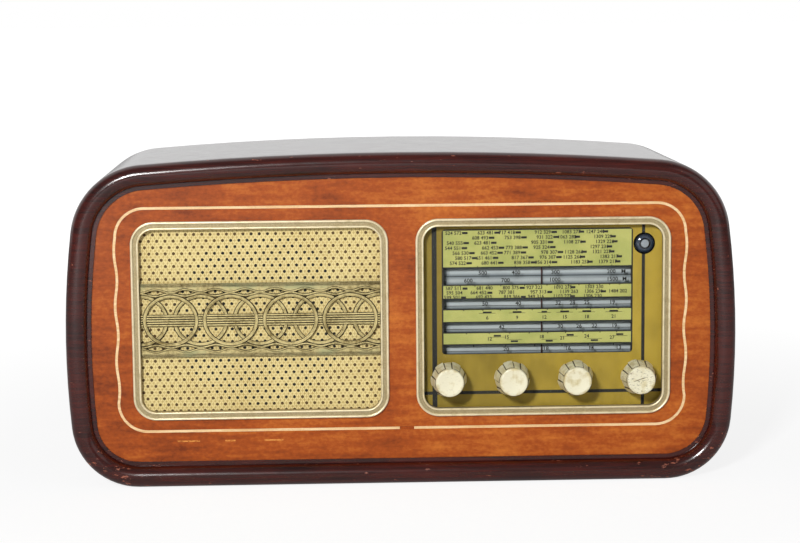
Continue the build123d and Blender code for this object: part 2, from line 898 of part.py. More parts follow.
# Bolts that hold the speaker to its board
flange_back = basket_start + sheet_metal
with BuildPart() as speaker_bolts:
    with BuildSketch(facing(sheet_back)):
        with Locations((grille_x, window_height)):
            with PolarLocations(speaker_bolt_circle, speaker_bolt_count, start_angle=45):
                Circle(speaker_bolt_radius)
    extrude(amount=sheet_back - flange_back - nut_height - 1)
    with BuildSketch(facing(flange_back)):
        with Locations((grille_x, window_height)):
            with PolarLocations(speaker_bolt_circle, speaker_bolt_count, start_angle=45):
                RegularPolygon(nut_radius, 6)
    extrude(amount=-nut_height)
finish(speaker_bolts.part, "speaker_bolts")


def laminated_transformer(x, z, y, width, height, depth, bulge):
    """Core of stacked plates with a wound bobbin, standing out from a face at depth y."""
    with BuildPart() as transformer:
        with BuildSketch(facing(y)):
            with Locations((x, z)):
                Rectangle(width, height)
        extrude(amount=-depth)
        chamfer(transformer.edges().filter_by(Axis.Y), core_chamfer)
        with BuildSketch(facing(y + depth)):
            with Locations((x, z)):
                RectangleRounded(coil_width_share * width, coil_height_share * height, height / 10)
        extrude(amount=-bulge)
        fillet(transformer.faces().sort_by(Axis.Y)[-1].edges(), coil_round_share * bulge)
    return transformer.part


# Output transformer on the back of the speaker board
finish(
    laminated_transformer(
        small_transformer_x,
        small_transformer_z,
        board_back,
        small_core_width,
        small_core_height,
        small_core_depth,
        small_coil_bulge,
    ),
    "output_transformer",
)

# Dial glass with a hole for each spindle
with BuildPart() as dial_glass:
    with BuildSketch(facing(panel_back)):
        with Locations((dial_x, window_height)):
            RectangleRounded(pane_width, pane_height, window_radius)
        with Locations(*[(x, knob_axis_height) for x in knob_places]):
            Circle(spindle_hole_radius, mode=Mode.SUBTRACT)
    extrude(amount=-glass_thickness)
finish(dial_glass.part, "dial_glass")

# Dial mask: painted sheet with the scale's slots, the eye's window and the spindle holes
with BuildPart() as dial_mask:
    with BuildSketch(facing(glass_back)):
        with Locations((dial_x, window_height)):
            RectangleRounded(pane_width, pane_height, window_radius)
        for low, high in slot_edges:
            with Locations(((scale_left + scale_right) / 2, (low + high) / 2)):
                Rectangle(scale_right - scale_left - 2 * slot_inset, high - low, mode=Mode.SUBTRACT)
        with Locations((eye_x, eye_z)):
            Circle(eye_window_radius, mode=Mode.SUBTRACT)
        with Locations(*[(x, knob_axis_height) for x in knob_places]):
            Circle(spindle_hole_radius, mode=Mode.SUBTRACT)
    extrude(amount=-mask_thickness)
finish(dial_mask.part, "dial_mask")

# Reflector behind the slots, with cheeks that stand off the chassis
reflector_middle = (cheek_left + cheek_right) / 2
reflector_height = reflector_top - reflector_bottom
with BuildPart() as dial_reflector:
    with BuildSketch(facing(reflector_front)):
        with Locations((reflector_middle, (reflector_top + reflector_bottom) / 2)):
            Rectangle(cheek_right - cheek_left, reflector_height)
        with Locations(*[(x, lamp_height) for x in lamp_places]):
            Circle(lamp_radius + 1, mode=Mode.SUBTRACT)
        with Locations((eye_x, eye_z)):
            Circle(eye_radius + hole_gap, mode=Mode.SUBTRACT)
    extrude(amount=-reflector_thickness)
    cheek_middle = (cheek_top + cheek_bottom) / 2
    with BuildSketch(facing(reflector_front)):
        with Locations(
            (cheek_left + reflector_thickness / 2, cheek_middle),
            (cheek_right - reflector_thickness / 2, cheek_middle),
        ):
            Rectangle(reflector_thickness, cheek_top - cheek_bottom)
    extrude(amount=reflector_front - chassis_front)
finish(dial_reflector.part, "dial_reflector")

# Rail that the pointer slides on, between the cheeks
rail_length = cheek_right - cheek_left - 2 * reflector_thickness
along_x = Plane(origin=(reflector_middle, 0, 0), x_dir=(0, 1, 0), z_dir=(1, 0, 0))
with BuildPart() as pointer_rail:
    with BuildSketch(along_x):
        with Locations((rail_plane, rail_height)):
            Circle(rail_radius)
    extrude(amount=rail_length / 2, both=True)
finish(pointer_rail.part, "pointer_rail")

# Pointer: sleeve on the rail, arm under the reflector's edge, upright behind the slots
sleeve_radius = rail_radius + running_gap + sleeve_wall
pointer_back = reflector_front - pointer_clearance
pointer_front = pointer_back - pointer_thickness
pointer_section = Plane(origin=(dial_x, 0, 0), x_dir=(0, 1, 0), z_dir=(1, 0, 0))
with BuildPart() as dial_pointer:
    with BuildSketch(pointer_section):
        with Locations((rail_plane, rail_height)):
            Circle(sleeve_radius)
    extrude(amount=sleeve_length / 2, both=True)
    with BuildSketch(pointer_section):
        with BuildLine():
            Polyline(
                (rail_plane, rail_height - pointer_thickness / 2),
                (pointer_front, rail_height - pointer_thickness / 2),
                (pointer_front, pointer_top),
                (pointer_back, pointer_top),
                (pointer_back, rail_height + pointer_thickness / 2),
                (rail_plane, rail_height + pointer_thickness / 2),
                close=True,
            )
        make_face()
    extrude(amount=pointer_width / 2, both=True)
    with BuildSketch(pointer_section):
        with Locations((rail_plane, rail_height)):
            Circle(rail_radius + running_gap)
    extrude(amount=sleeve_length, both=True, mode=Mode.SUBTRACT)
finish(dial_pointer.part, "dial_pointer")

# Dial lamps: bulbs that look through the reflector, and their holders behind it
with BuildPart() as dial_lamps:
    for x in lamp_places:
        with BuildSketch(lathe_plane(x, lamp_height)):
            with BuildLine():
                bulb_front = reflector_back - lamp_length / 2
                shoulder = bulb_front + lamp_radius
                ThreePointArc(
                    (0, bulb_front),
                    (lamp_radius * sqrt(1 / 2), shoulder - lamp_radius * sqrt(1 / 2)),
                    (lamp_radius, shoulder),
                )
                Polyline(
                    (lamp_radius, shoulder),
                    (lamp_radius, bulb_front + lamp_length),
                    (0, bulb_front + lamp_length),
                    (0, bulb_front),
                )
            make_face()
        revolve(axis=lathe_axis(x, lamp_height))
finish(dial_lamps.part, "dial_lamps")

with BuildPart() as lamp_holders:
    for x in lamp_places:
        with BuildSketch(facing(reflector_back)):
            with Locations((x, lamp_height)):
                Circle(lamp_holder_radius)
        extrude(amount=-lamp_holder_depth)
        with BuildSketch(facing(reflector_back)):
            with Locations((x, lamp_height)):
                Circle(lamp_radius + running_gap)
        extrude(amount=-lamp_length / 2, mode=Mode.SUBTRACT)
finish(lamp_holders.part, "lamp_holders")

# Magic eye: domed glass tube with its base, and the clamp that holds it on the reflector
eye_front = mask_back + seat_gap
eye_rear = eye_front + eye_length
eye_curve = (eye_radius**2 + eye_dome**2) / (2 * eye_dome)
with BuildPart() as eye_tube:
    with BuildSketch(lathe_plane(eye_x, eye_z)):
        with BuildLine():
            ThreePointArc(
                (0, eye_front),
                (eye_radius / 2, eye_front + eye_curve - sqrt(eye_curve**2 - eye_radius**2 / 4)),
                (eye_radius, eye_front + eye_dome),
            )
            Polyline(
                (eye_radius, eye_front + eye_dome),
                (eye_radius, eye_rear - eye_base_length),
                (eye_base_radius, eye_rear - eye_base_length),
                (eye_base_radius, eye_rear),
                (0, eye_rear),
                (0, eye_front),
            )
        make_face()
    revolve(axis=lathe_axis(eye_x, eye_z))
finish(eye_tube.part, "eye_tube")

with BuildPart() as eye_clamp:
    with BuildSketch(facing(reflector_back)):
        with Locations((eye_x, eye_z)):
            Circle(eye_radius + hole_gap + clamp_wall)
            Circle(eye_radius + hole_gap, mode=Mode.SUBTRACT)
    extrude(amount=-clamp_length)
finish(eye_clamp.part, "eye_clamp")

# Chassis: folded steel pan, open below, with bushes and studs on its front apron
chassis_width = chassis_right - chassis_left
chassis_depth = chassis_rear - chassis_front
chassis_x = (chassis_left + chassis_right) / 2
pulley_places = [pulley_left, pulley_right]
pulley_half = groove_width / 2 + flange_thickness
stud_shoulder_end = pointer_plane + pulley_half + seat_gap
stud_end = pointer_plane - pulley_half - seat_gap
with BuildPart() as chassis:
    with BuildSketch(Plane.XY.offset(chassis_bottom)):
        with Locations((chassis_x, chassis_middle)):
            Rectangle(chassis_width, chassis_depth)
    extrude(amount=chassis_height)
    fillet(chassis.edges().filter_by(Axis.Z), chassis_corner)
    offset(amount=-sheet_metal, openings=chassis.faces().sort_by(Axis.Z)[0])
    with BuildSketch(facing(chassis_front)):
        with Locations(*[(x, knob_axis_height) for x in knob_places[:3]]):
            Circle(bush_radius + running_gap)
    extrude(amount=-sheet_metal, mode=Mode.SUBTRACT)
    with BuildSketch(facing(chassis_front)):
        with Locations((tuning_x, knob_axis_height)):
            Circle(bush_radius)
    extrude(amount=-bush_length)
    with BuildSketch(facing(chassis_front)):
        with Locations((tuning_x, knob_axis_height)):
            Circle(spindle_radius + running_gap)
    extrude(amount=-bush_length, mode=Mode.SUBTRACT)
    with BuildSketch(facing(chassis_front)):
        with Locations(*[(x, pulley_height) for x in pulley_places]):
            Circle(stud_shoulder)
    extrude(amount=chassis_front - stud_shoulder_end)
    with BuildSketch(facing(stud_shoulder_end)):
        with Locations(*[(x, pulley_height) for x in pulley_places]):
            Circle(stud_radius)
    extrude(amount=stud_shoulder_end - stud_end)
    with BuildSketch(facing(stud_end)):
        with Locations(*[(x, pulley_height) for x in pulley_places]):
            Circle(stud_shoulder)
    extrude(amount=flange_thickness)
    with BuildSketch(Plane.XY.offset(chassis_top)):
        with Locations(*[(x, y) for x, y, height in valve_places.values()]):
            Circle(valve_base_radius - 2)
    extrude(amount=-sheet_metal, mode=Mode.SUBTRACT)
    flange_reach = batten_inset + batten_width / 2
    with BuildSketch(Plane.XY.offset(chassis_bottom)):
        for x in (chassis_left + flange_reach / 2, chassis_right - flange_reach / 2):
            with Locations((x, chassis_middle)):
                Rectangle(flange_reach - sheet_metal, chassis_depth - 2 * sheet_metal)
        with Locations(*bolt_points):
            Circle(chassis_bolt_radius + hole_gap, mode=Mode.SUBTRACT)
    extrude(amount=sheet_metal)
finish(chassis.part, "chassis")

# Battens under the chassis, and the bolts up through the cabinet's floor
batten_height = chassis_bottom - shell_wall
with BuildPart() as chassis_battens:
    with BuildSketch(Plane.XY.offset(shell_wall)):
        for x in batten_places:
            with Locations((x, chassis_middle)):
                Rectangle(batten_width, chassis_depth)
        with Locations(*bolt_points):
            Circle(chassis_bolt_radius + hole_gap, mode=Mode.SUBTRACT)
    extrude(amount=batten_height)
finish(chassis_battens.part, "chassis_battens")

flange_top = chassis_bottom + sheet_metal
with BuildPart() as chassis_bolts:
    with BuildSketch(Plane.XY.offset(bolt_recess)):
        with Locations(*bolt_points):
            Circle(chassis_bolt_head)
    extrude(amount=chassis_bolt_head_height - bolt_recess)
    with BuildSketch(Plane.XY.offset(chassis_bolt_head_height)):
        with Locations(*bolt_points):
            Circle(chassis_bolt_radius)
    extrude(amount=flange_top + nut_height + 1 - chassis_bolt_head_height)
    with BuildSketch(Plane.XY.offset(flange_top)):
        with Locations(*bolt_points):
            RegularPolygon(chassis_nut_radius, 6)
    extrude(amount=nut_height)
finish(chassis_bolts.part, "chassis_bolts")

# Potentiometers: can behind the apron, threaded bush through it, nut in front
bush_front = chassis_front - bush_length
with BuildPart() as potentiometers:
    for x in knob_places[:2]:
        with BuildSketch(facing(apron_back)):
            with Locations((x, knob_axis_height)):
                Circle(pot_radius)
        extrude(amount=-pot_depth)
        with BuildSketch(facing(apron_back)):
            with Locations((x, knob_axis_height)):
                Circle(bush_radius)
        extrude(amount=apron_back - bush_front)
        with BuildSketch(facing(chassis_front)):
            with Locations((x, knob_axis_height)):
                RegularPolygon(bush_nut_radius, 6)
        extrude(amount=bush_nut_height)
        with BuildSketch(facing(bush_front)):
            with Locations((x, knob_axis_height)):
                Circle(spindle_radius + running_gap)
        extrude(amount=bush_front - apron_back - pot_depth + sheet_metal, mode=Mode.SUBTRACT)
finish(potentiometers.part, "potentiometers")

# Wave-band switch: boxed wafer switch with the same bush
band_x = knob_places[2]
with BuildPart() as band_switch:
    with BuildSketch(facing(apron_back)):
        with Locations((band_x, knob_axis_height)):
            Rectangle(switch_width, switch_height)
    extrude(amount=-switch_depth)
    chamfer(band_switch.edges().filter_by(Axis.Y), switch_chamfer)
    with BuildSketch(facing(apron_back)):
        with Locations((band_x, knob_axis_height)):
            Circle(bush_radius)
    extrude(amount=apron_back - bush_front)
    with BuildSketch(facing(chassis_front)):
        with Locations((band_x, knob_axis_height)):
            RegularPolygon(bush_nut_radius, 6)
    extrude(amount=bush_nut_height)
    with BuildSketch(facing(bush_front)):
        with Locations((band_x, knob_axis_height)):
            Circle(spindle_radius + running_gap)
    extrude(amount=bush_front - apron_back - pot_depth + sheet_metal, mode=Mode.SUBTRACT)
finish(band_switch.part, "band_switch")

# Spindles of the volume, tone and band controls
spindle_end = apron_back + pot_depth - sheet_metal - seat_gap
for name, x in zip(("volume_spindle", "tone_spindle", "band_spindle"), knob_places):
    with BuildPart() as spindle:
        with BuildSketch(facing(spindle_front)):
            with Locations((x, knob_axis_height)):
                Circle(spindle_radius)
        extrude(amount=spindle_front - spindle_end)
    finish(spindle.part, name)

# Tuning spindle with the winding groove for the drive cord
collar_half = groove_width / 2
with BuildPart() as tuning_spindle:
    with BuildSketch(lathe_plane(tuning_x, knob_axis_height)):
        with BuildLine():
            Polyline(
                (0, spindle_front),
                (spindle_radius, spindle_front),
                (spindle_radius, drive_plane - collar_half - flange_thickness),
                (collar_radius, drive_plane - collar_half - flange_thickness),
                (collar_radius, drive_plane - collar_half),
                (winding_radius, drive_plane - collar_half),
                (winding_radius, drive_plane + collar_half),
                (collar_radius, drive_plane + collar_half),
                (collar_radius, drive_plane + collar_half + flange_thickness),
                (spindle_radius, drive_plane + collar_half + flange_thickness),
                (spindle_radius, chassis_front + bush_length - seat_gap),
                (0, chassis_front + bush_length - seat_gap),
                close=True,
            )
        make_face()
    revolve(axis=lathe_axis(tuning_x, knob_axis_height))
finish(tuning_spindle.part, "tuning_spindle")

# Knobs: tapered ivory body with six raised ribs, a ringed flat face and a bore for the spindle
for name, x in zip(("volume_knob", "tone_knob", "band_knob", "tuning_knob"), knob_places):
    with BuildPart() as knob:
        with BuildSketch(facing(knob_back)):
            with Locations((x, knob_axis_height)):
                Circle(knob_base_radius)
        with BuildSketch(facing(knob_front)):
            with Locations((x, knob_axis_height)):
                Circle(knob_face_radius)
        loft()
        fillet(knob.faces().sort_by(Axis.Y)[0].edges(), knob_edge_radius)
        rib_front = knob_front + knob_length * knob_rib_start
        back_reach = knob_base_radius + knob_rib_rise - knob_rib_depth / 2
        front_reach = knob_face_radius + knob_rib_rise - knob_rib_depth / 2
        for index in range(knob_ribs):
            angle = 360 / knob_ribs * index
            with BuildSketch(facing(knob_back)):
                with Locations((x, knob_axis_height)):
                    with PolarLocations(back_reach, 1, start_angle=angle):
                        Rectangle(knob_rib_depth, knob_rib_width)
            with BuildSketch(facing(rib_front)):
                with Locations((x, knob_axis_height)):
                    with PolarLocations(front_reach, 1, start_angle=angle):
                        Rectangle(knob_rib_depth, knob_rib_width * knob_rib_taper)
            loft()
        with BuildSketch(facing(knob_front)):
            with Locations((x, knob_axis_height)):
                Circle(knob_face_radius - 2 * knob_ring_width)
                Circle(knob_face_radius - 3 * knob_ring_width, mode=Mode.SUBTRACT)
        extrude(amount=-knob_ring_depth, mode=Mode.SUBTRACT)
        with BuildSketch(facing(knob_back)):
            with Locations((x, knob_axis_height)):
                Circle(spindle_radius + running_gap)
        extrude(amount=knob_bore_depth + seat_gap, mode=Mode.SUBTRACT)
    finish(knob.part, name)

# Pulleys for the pointer cord
for name, x in zip(("left_pulley", "right_pulley"), pulley_places):
    with BuildPart() as pulley:
        with BuildSketch(lathe_plane(x, pulley_height)):
            with BuildLine():
                Polyline(
                    (stud_radius + running_gap, pointer_plane - pulley_half),
                    (pulley_radius + groove_depth, pointer_plane - pulley_half),
                    (pulley_radius + groove_depth, pointer_plane - groove_width / 2),
                    (pulley_radius, pointer_plane - groove_width / 2),
                    (pulley_radius, pointer_plane + groove_width / 2),
                    (pulley_radius + groove_depth, pointer_plane + groove_width / 2),
                    (pulley_radius + groove_depth, pointer_plane + pulley_half),
                    (stud_radius + running_gap, pointer_plane + pulley_half),
                    close=True,
                )
            make_face()
        revolve(axis=lathe_axis(x, pulley_height))
    finish(pulley.part, name)

# Tuning drum: grooves for the pointer cord and the drive cord, web and hub
drum_front = pointer_plane - pulley_half
drum_step = pointer_plane + pulley_half
drive_front = drive_plane - groove_width / 2
drive_back = drive_plane + groove_width / 2
drum_back = drive_back + flange_thickness
drum_lip = drum_radius + groove_depth
drive_lip = drive_radius + groove_depth
shaft_bore = spindle_radius + running_gap
with BuildPart() as tuning_drum:
    with BuildSketch(lathe_plane(dial_x, drum_height)):
        with BuildLine():
            Polyline(
                (shaft_bore, drum_front),
                (hub_radius, drum_front),
                (hub_radius, drum_step - web_thickness),
                (drum_radius - drum_rim_thickness, drum_step - web_thickness),
                (drum_radius - drum_rim_thickness, drum_front),
                (drum_lip, drum_front),
                (drum_lip, drum_front + flange_thickness),
                (drum_radius, drum_front + flange_thickness),
                (drum_radius, drum_step - flange_thickness),
                (drum_lip, drum_step - flange_thickness),
                (drum_lip, drum_step),
                (drive_lip, drum_step),
                (drive_lip, drive_front),
                (drive_radius, drive_front),
                (drive_radius, drive_back),
                (drive_lip, drive_back),
                (drive_lip, drum_back),
                (drive_radius - drum_rim_thickness, drum_back),
                (drive_radius - drum_rim_thickness, drum_step),
                (hub_radius, drum_step),
                (hub_radius, drum_back),
                (shaft_bore, drum_back),
                close=True,
            )
        make_face()
    revolve(axis=lathe_axis(dial_x, drum_height))
    with BuildSketch(facing(drum_front)):
        with Locations((dial_x, drum_height)):
            with PolarLocations((hub_radius + drive_radius - drum_rim_thickness) / 2, drum_holes):
                Circle(drum_hole_radius)
    extrude(amount=drum_front - drum_back, mode=Mode.SUBTRACT)
finish(tuning_drum.part, "tuning_drum")

# Cords: closed loops of straight runs and arcs, clear of the grooves they run in
for name, plane_y, wheels in (
    (
        "pointer_cord",
        pointer_plane,
        [
            (dial_x, drum_height, drum_radius + cord_run),
            (pulley_left, pulley_height, pulley_radius + cord_run),
            (pulley_right, pulley_height, pulley_radius + cord_run),
        ],
    ),
    (
        "drive_cord",
        drive_plane,
        [
            (dial_x, drum_height, drive_radius + cord_run),
            (tuning_x, knob_axis_height, winding_radius + cord_run),
        ],
    ),
):
    with BuildPart() as cord:
        with BuildLine(facing(plane_y)) as loop:
            belt_loop(wheels)
        route = loop.wires()[0]
        with BuildSketch(Plane(origin=route @ 0, z_dir=route % 0)):
            Circle(cord_radius)
        sweep(path=route)
    print(name, "length", round(route.length, 1))
    finish(cord.part, name)

# Variable capacitor: rotor on its shaft, stator plates on their posts, and the frame round them
with BuildPart() as capacitor_rotor:
    with BuildSketch(facing(drum_front)):
        with Locations((dial_x, drum_height)):
            Circle(spindle_radius)
    extrude(amount=drum_front - frame_rear)
    for index in range(rotor_plates):
        with BuildSketch(facing(rotor_start + index * plate_pitch)):
            with Locations((dial_x, drum_height)):
                Circle(rotor_radius)
            with Locations((dial_x - rotor_radius, drum_height)):
                Rectangle(2 * rotor_radius, 2 * rotor_radius, mode=Mode.SUBTRACT)
            with Locations((dial_x, drum_height)):
                Circle(spindle_radius + plate_thickness)
        extrude(amount=-plate_thickness)
finish(capacitor_rotor.part, "capacitor_rotor")

post_reach = stator_radius - stator_post_radius
post_drop = 2 * stator_post_radius
with BuildPart() as capacitor_stator:
    for index in range(rotor_plates - 1):
        with BuildSketch(facing(rotor_start + (index + 0.5) * plate_pitch)):
            with Locations((dial_x, drum_height)):
                Circle(stator_radius)
                Circle(spindle_radius + plate_pitch / 2, mode=Mode.SUBTRACT)
            with Locations((dial_x, drum_height + stator_radius)):
                Rectangle(2 * stator_radius, 2 * stator_radius, mode=Mode.SUBTRACT)
        extrude(amount=-plate_thickness)
    with BuildSketch(facing(frame_front + frame_plate)):
        with Locations((dial_x - post_reach, drum_height - post_drop), (dial_x + post_reach, drum_height - post_drop)):
            Circle(stator_post_radius)
    extrude(amount=frame_front + 2 * frame_plate - frame_rear)
finish(capacitor_stator.part, "capacitor_stator")

with BuildPart() as capacitor_frame:
    frame_profile = Plane(origin=(dial_x, 0, 0), x_dir=(0, 1, 0), z_dir=(1, 0, 0))
    with BuildSketch(frame_profile):
        with BuildLine():
            Polyline(
                (frame_front, frame_top),
                (frame_front, frame_bottom),
                (frame_rear, frame_bottom),
                (frame_rear, frame_top),
                (frame_rear - frame_plate, frame_top),
                (frame_rear - frame_plate, frame_bottom + frame_plate),
                (frame_front + frame_plate, frame_bottom + frame_plate),
                (frame_front + frame_plate, frame_top),
                close=True,
            )
        make_face()
    extrude(amount=frame_half_width, both=True)
    chamfer(capacitor_frame.edges().filter_by(Axis.Y).group_by(Axis.Z)[-1], frame_chamfer)
    with BuildSketch(facing(frame_front)):
        with Locations((dial_x, drum_height)):
            Circle(spindle_radius + running_gap)
    extrude(amount=frame_front - frame_rear, mode=Mode.SUBTRACT)
    with BuildSketch(Plane.XY.offset(chassis_top)):
        with Locations((dial_x, (frame_front + frame_rear) / 2)):
            with GridLocations(2 * (frame_half_width - 2 * foot_radius), frame_rear - frame_front - 2 * foot_radius, 2, 2):
                Circle(foot_radius)
    extrude(amount=frame_feet)
finish(capacitor_frame.part, "capacitor_frame")

# Valve sockets and valves
with BuildPart() as valve_sockets:
    for x, y, height in valve_places.values():
        with BuildSketch(Plane.XY.offset(chassis_top)):
            with Locations((x, y)):
                Circle(socket_radius)
        extrude(amount=socket_height)
finish(valve_sockets.part, "valve_sockets")

for name, (x, y, height) in valve_places.items():
    base_top = valve_seat + valve_base_height
    crown = valve_seat + height
    shoulder = crown - valve_bulb_radius
    bulb = Plane(origin=(x, y, 0), x_dir=(1, 0, 0), z_dir=(0, -1, 0))
    with BuildPart() as valve:
        with BuildSketch(bulb):
            with BuildLine():
                Polyline(
                    (0, crown),
                    (0, valve_seat),
                    (valve_base_radius, valve_seat),
                    (valve_base_radius, base_top),
                    (valve_base_radius - 2, base_top),
                    (valve_bulb_radius, base_top + valve_bulb_radius),
                    (valve_bulb_radius, shoulder),
                )
                ThreePointArc(
                    (valve_bulb_radius, shoulder),
                    (valve_bulb_radius * sqrt(1 / 2), shoulder + valve_bulb_radius * sqrt(1 / 2)),
                    (0, crown),
                )
            make_face()
        revolve(axis=Axis((x, y, 0), (0, 0, 1)))
    finish(valve.part, name)

# Intermediate-frequency cans, filter capacitor and mains transformer
with BuildPart() as if_cans:
    for x, y in can_places:
        with BuildSketch(Plane.XY.offset(chassis_top)):
            with Locations((x, y)):
                RectangleRounded(can_size, can_size, can_size / 8)
        extrude(amount=can_height)
    fillet(if_cans.faces().group_by(Axis.Z)[-1].edges(), can_top_radius)
finish(if_cans.part, "if_cans")

with BuildPart() as filter_can:
    with BuildSketch(Plane.XY.offset(chassis_top)):
        with Locations(filter_can_place):
            Circle(filter_can_radius)
    extrude(amount=filter_can_height)
    fillet(filter_can.faces().sort_by(Axis.Z)[-1].edges(), 2)
finish(filter_can.part, "filter_can")

with BuildPart() as mains_transformer:
    core_bottom = chassis_top + core_feet
    core_centre_z = core_bottom + core_height / 2
    core_x, core_y = core_place
    with BuildSketch(facing(core_y - core_depth / 2)):
        with Locations((core_x, core_centre_z)):
            Rectangle(core_width, core_height)
    extrude(amount=-core_depth)
    chamfer(mains_transformer.edges().filter_by(Axis.Y), 2)
    with BuildSketch(facing(core_y)):
        with Locations((core_x, core_centre_z)):
            RectangleRounded(core_coil_width, core_coil_height, core_coil_corner)
    extrude(amount=core_depth / 2 + coil_bulge, both=True)
    with BuildSketch(Plane.XY.offset(chassis_top)):
        with Locations((core_x, core_y)):
            with GridLocations(core_width - foot_inset, core_depth, 2, 1):
                Rectangle(foot_width, core_depth)
    extrude(amount=core_feet + foot_bite)
finish(mains_transformer.part, "mains_transformer")

# Rear: socket strip and voltage selector on the chassis, cover, grommet and screws
selector_x = strip_x + strip_width / 2 - selector_edge
strip_back = chassis_rear + strip_thickness
first_socket = strip_x - strip_width / 2 + socket_edge
aerial_places = [(first_socket + index * aerial_socket_pitch, hatch_z) for index in range(socket_count)]
with BuildPart() as socket_strip:
    with BuildSketch(facing(strip_back)):
        with Locations((strip_x, hatch_z)):
            RectangleRounded(strip_width, strip_height, strip_corner)
        with Locations(*aerial_places):
            Circle(aerial_socket_radius, mode=Mode.SUBTRACT)
        with Locations((selector_x, hatch_z)):
            Circle(selector_pin_radius + running_gap, mode=Mode.SUBTRACT)
    extrude(amount=strip_thickness)
finish(socket_strip.part, "socket_strip")

with BuildPart() as voltage_selector:
    with BuildSketch(facing(chassis_rear + seat_gap)):
        with Locations((selector_x, hatch_z)):
            Circle(selector_pin_radius)
    extrude(amount=-strip_thickness)
    with BuildSketch(facing(strip_back + seat_gap)):
        with Locations((selector_x, hatch_z)):
            Circle(selector_radius)
    extrude(amount=-selector_height / 3)
    with BuildSketch(facing(strip_back + seat_gap)):
        with Locations((selector_x, hatch_z)):
            Rectangle(selector_grip_width, 2 * selector_radius - 2)
    extrude(amount=-selector_height)
finish(voltage_selector.part, "voltage_selector")

with BuildPart() as back_cover:
    with BuildSketch(facing(shell_rear)):
        add(cover_outline)
        with Locations((0, vent_centre_height)):
            with GridLocations(vent_pitch_x, vent_pitch_z, vent_columns, vent_rows):
                SlotOverall(vent_length, vent_width, mode=Mode.SUBTRACT)
        with Locations((strip_x, hatch_z)):
            RectangleRounded(hatch_width, hatch_height, hatch_corner, mode=Mode.SUBTRACT)
        with Locations((grommet_x, grommet_z)):
            Circle(grommet_radius, mode=Mode.SUBTRACT)
        with Locations(*screw_points):
            Circle(screw_radius + hole_gap, mode=Mode.SUBTRACT)
    extrude(amount=-cover_thickness)
finish(back_cover.part, "back_cover")

cover_back = shell_rear + cover_thickness
with BuildPart() as cord_grommet:
    with BuildSketch(lathe_plane(grommet_x, grommet_z)):
        with BuildLine():
            Polyline(
                (grommet_bore, shell_rear - grommet_lip),
                (grommet_radius + grommet_lip, shell_rear - grommet_lip),
                (grommet_radius + grommet_lip, shell_rear - glue_gap),
                (grommet_radius - glue_gap, shell_rear - glue_gap),
                (grommet_radius - glue_gap, cover_back + glue_gap),
                (grommet_radius + grommet_lip, cover_back + glue_gap),
                (grommet_radius + grommet_lip / 2, cover_back + grommet_lip),
                (grommet_bore, cover_back + grommet_lip),
                close=True,
            )
        make_face()
    revolve(axis=lathe_axis(grommet_x, grommet_z))
finish(cord_grommet.part, "cord_grommet")

with BuildPart() as back_screws:
    with BuildSketch(facing(cover_back)):
        with Locations(*screw_points):
            Circle(screw_radius)
    extrude(amount=screw_length)
    with BuildSketch(facing(cover_back)):
        with Locations(*screw_points):
            Circle(screw_head_radius)
    extrude(amount=-screw_head_height, taper=screw_head_taper)
finish(back_screws.part, "back_screws")
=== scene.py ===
"""Dressed scene of a valve table radio: finishes, fine pieces, camera and studio."""

import logging
import math
from dataclasses import dataclass, field
from enum import Enum
from functools import reduce
from typing import Callable, Iterable, Optional, Sequence, Union

import bmesh
import bpy
from mathutils import Matrix, Vector


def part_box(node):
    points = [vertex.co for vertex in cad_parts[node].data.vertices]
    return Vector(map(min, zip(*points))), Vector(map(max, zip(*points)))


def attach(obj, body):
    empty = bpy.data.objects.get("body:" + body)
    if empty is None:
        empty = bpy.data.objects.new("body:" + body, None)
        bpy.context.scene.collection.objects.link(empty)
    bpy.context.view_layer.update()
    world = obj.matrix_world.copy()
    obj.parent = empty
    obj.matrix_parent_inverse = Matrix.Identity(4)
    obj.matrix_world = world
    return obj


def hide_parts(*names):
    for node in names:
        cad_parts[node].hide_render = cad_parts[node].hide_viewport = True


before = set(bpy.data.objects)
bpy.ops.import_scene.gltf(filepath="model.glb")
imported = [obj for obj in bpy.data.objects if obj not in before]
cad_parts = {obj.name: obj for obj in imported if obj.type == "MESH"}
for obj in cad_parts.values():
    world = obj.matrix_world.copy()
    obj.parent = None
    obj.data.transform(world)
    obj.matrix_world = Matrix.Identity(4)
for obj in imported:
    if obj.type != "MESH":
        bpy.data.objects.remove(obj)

LOG = logging.getLogger("radio")
MM = 0.001
WELD = 0.002
CABINET = "cabinet"


def srgb(red: float, green: float, blue: float) -> tuple[float, float, float, float]:
    """Linear colour of a screen colour given in 0 to 255."""

    def linear(level: float) -> float:
        """Linear value of one channel."""
        level /= 255
        return level / 12.92 if level <= 0.04045 else ((level + 0.055) / 1.055) ** 2.4

    return linear(red), linear(green), linear(blue), 1.0


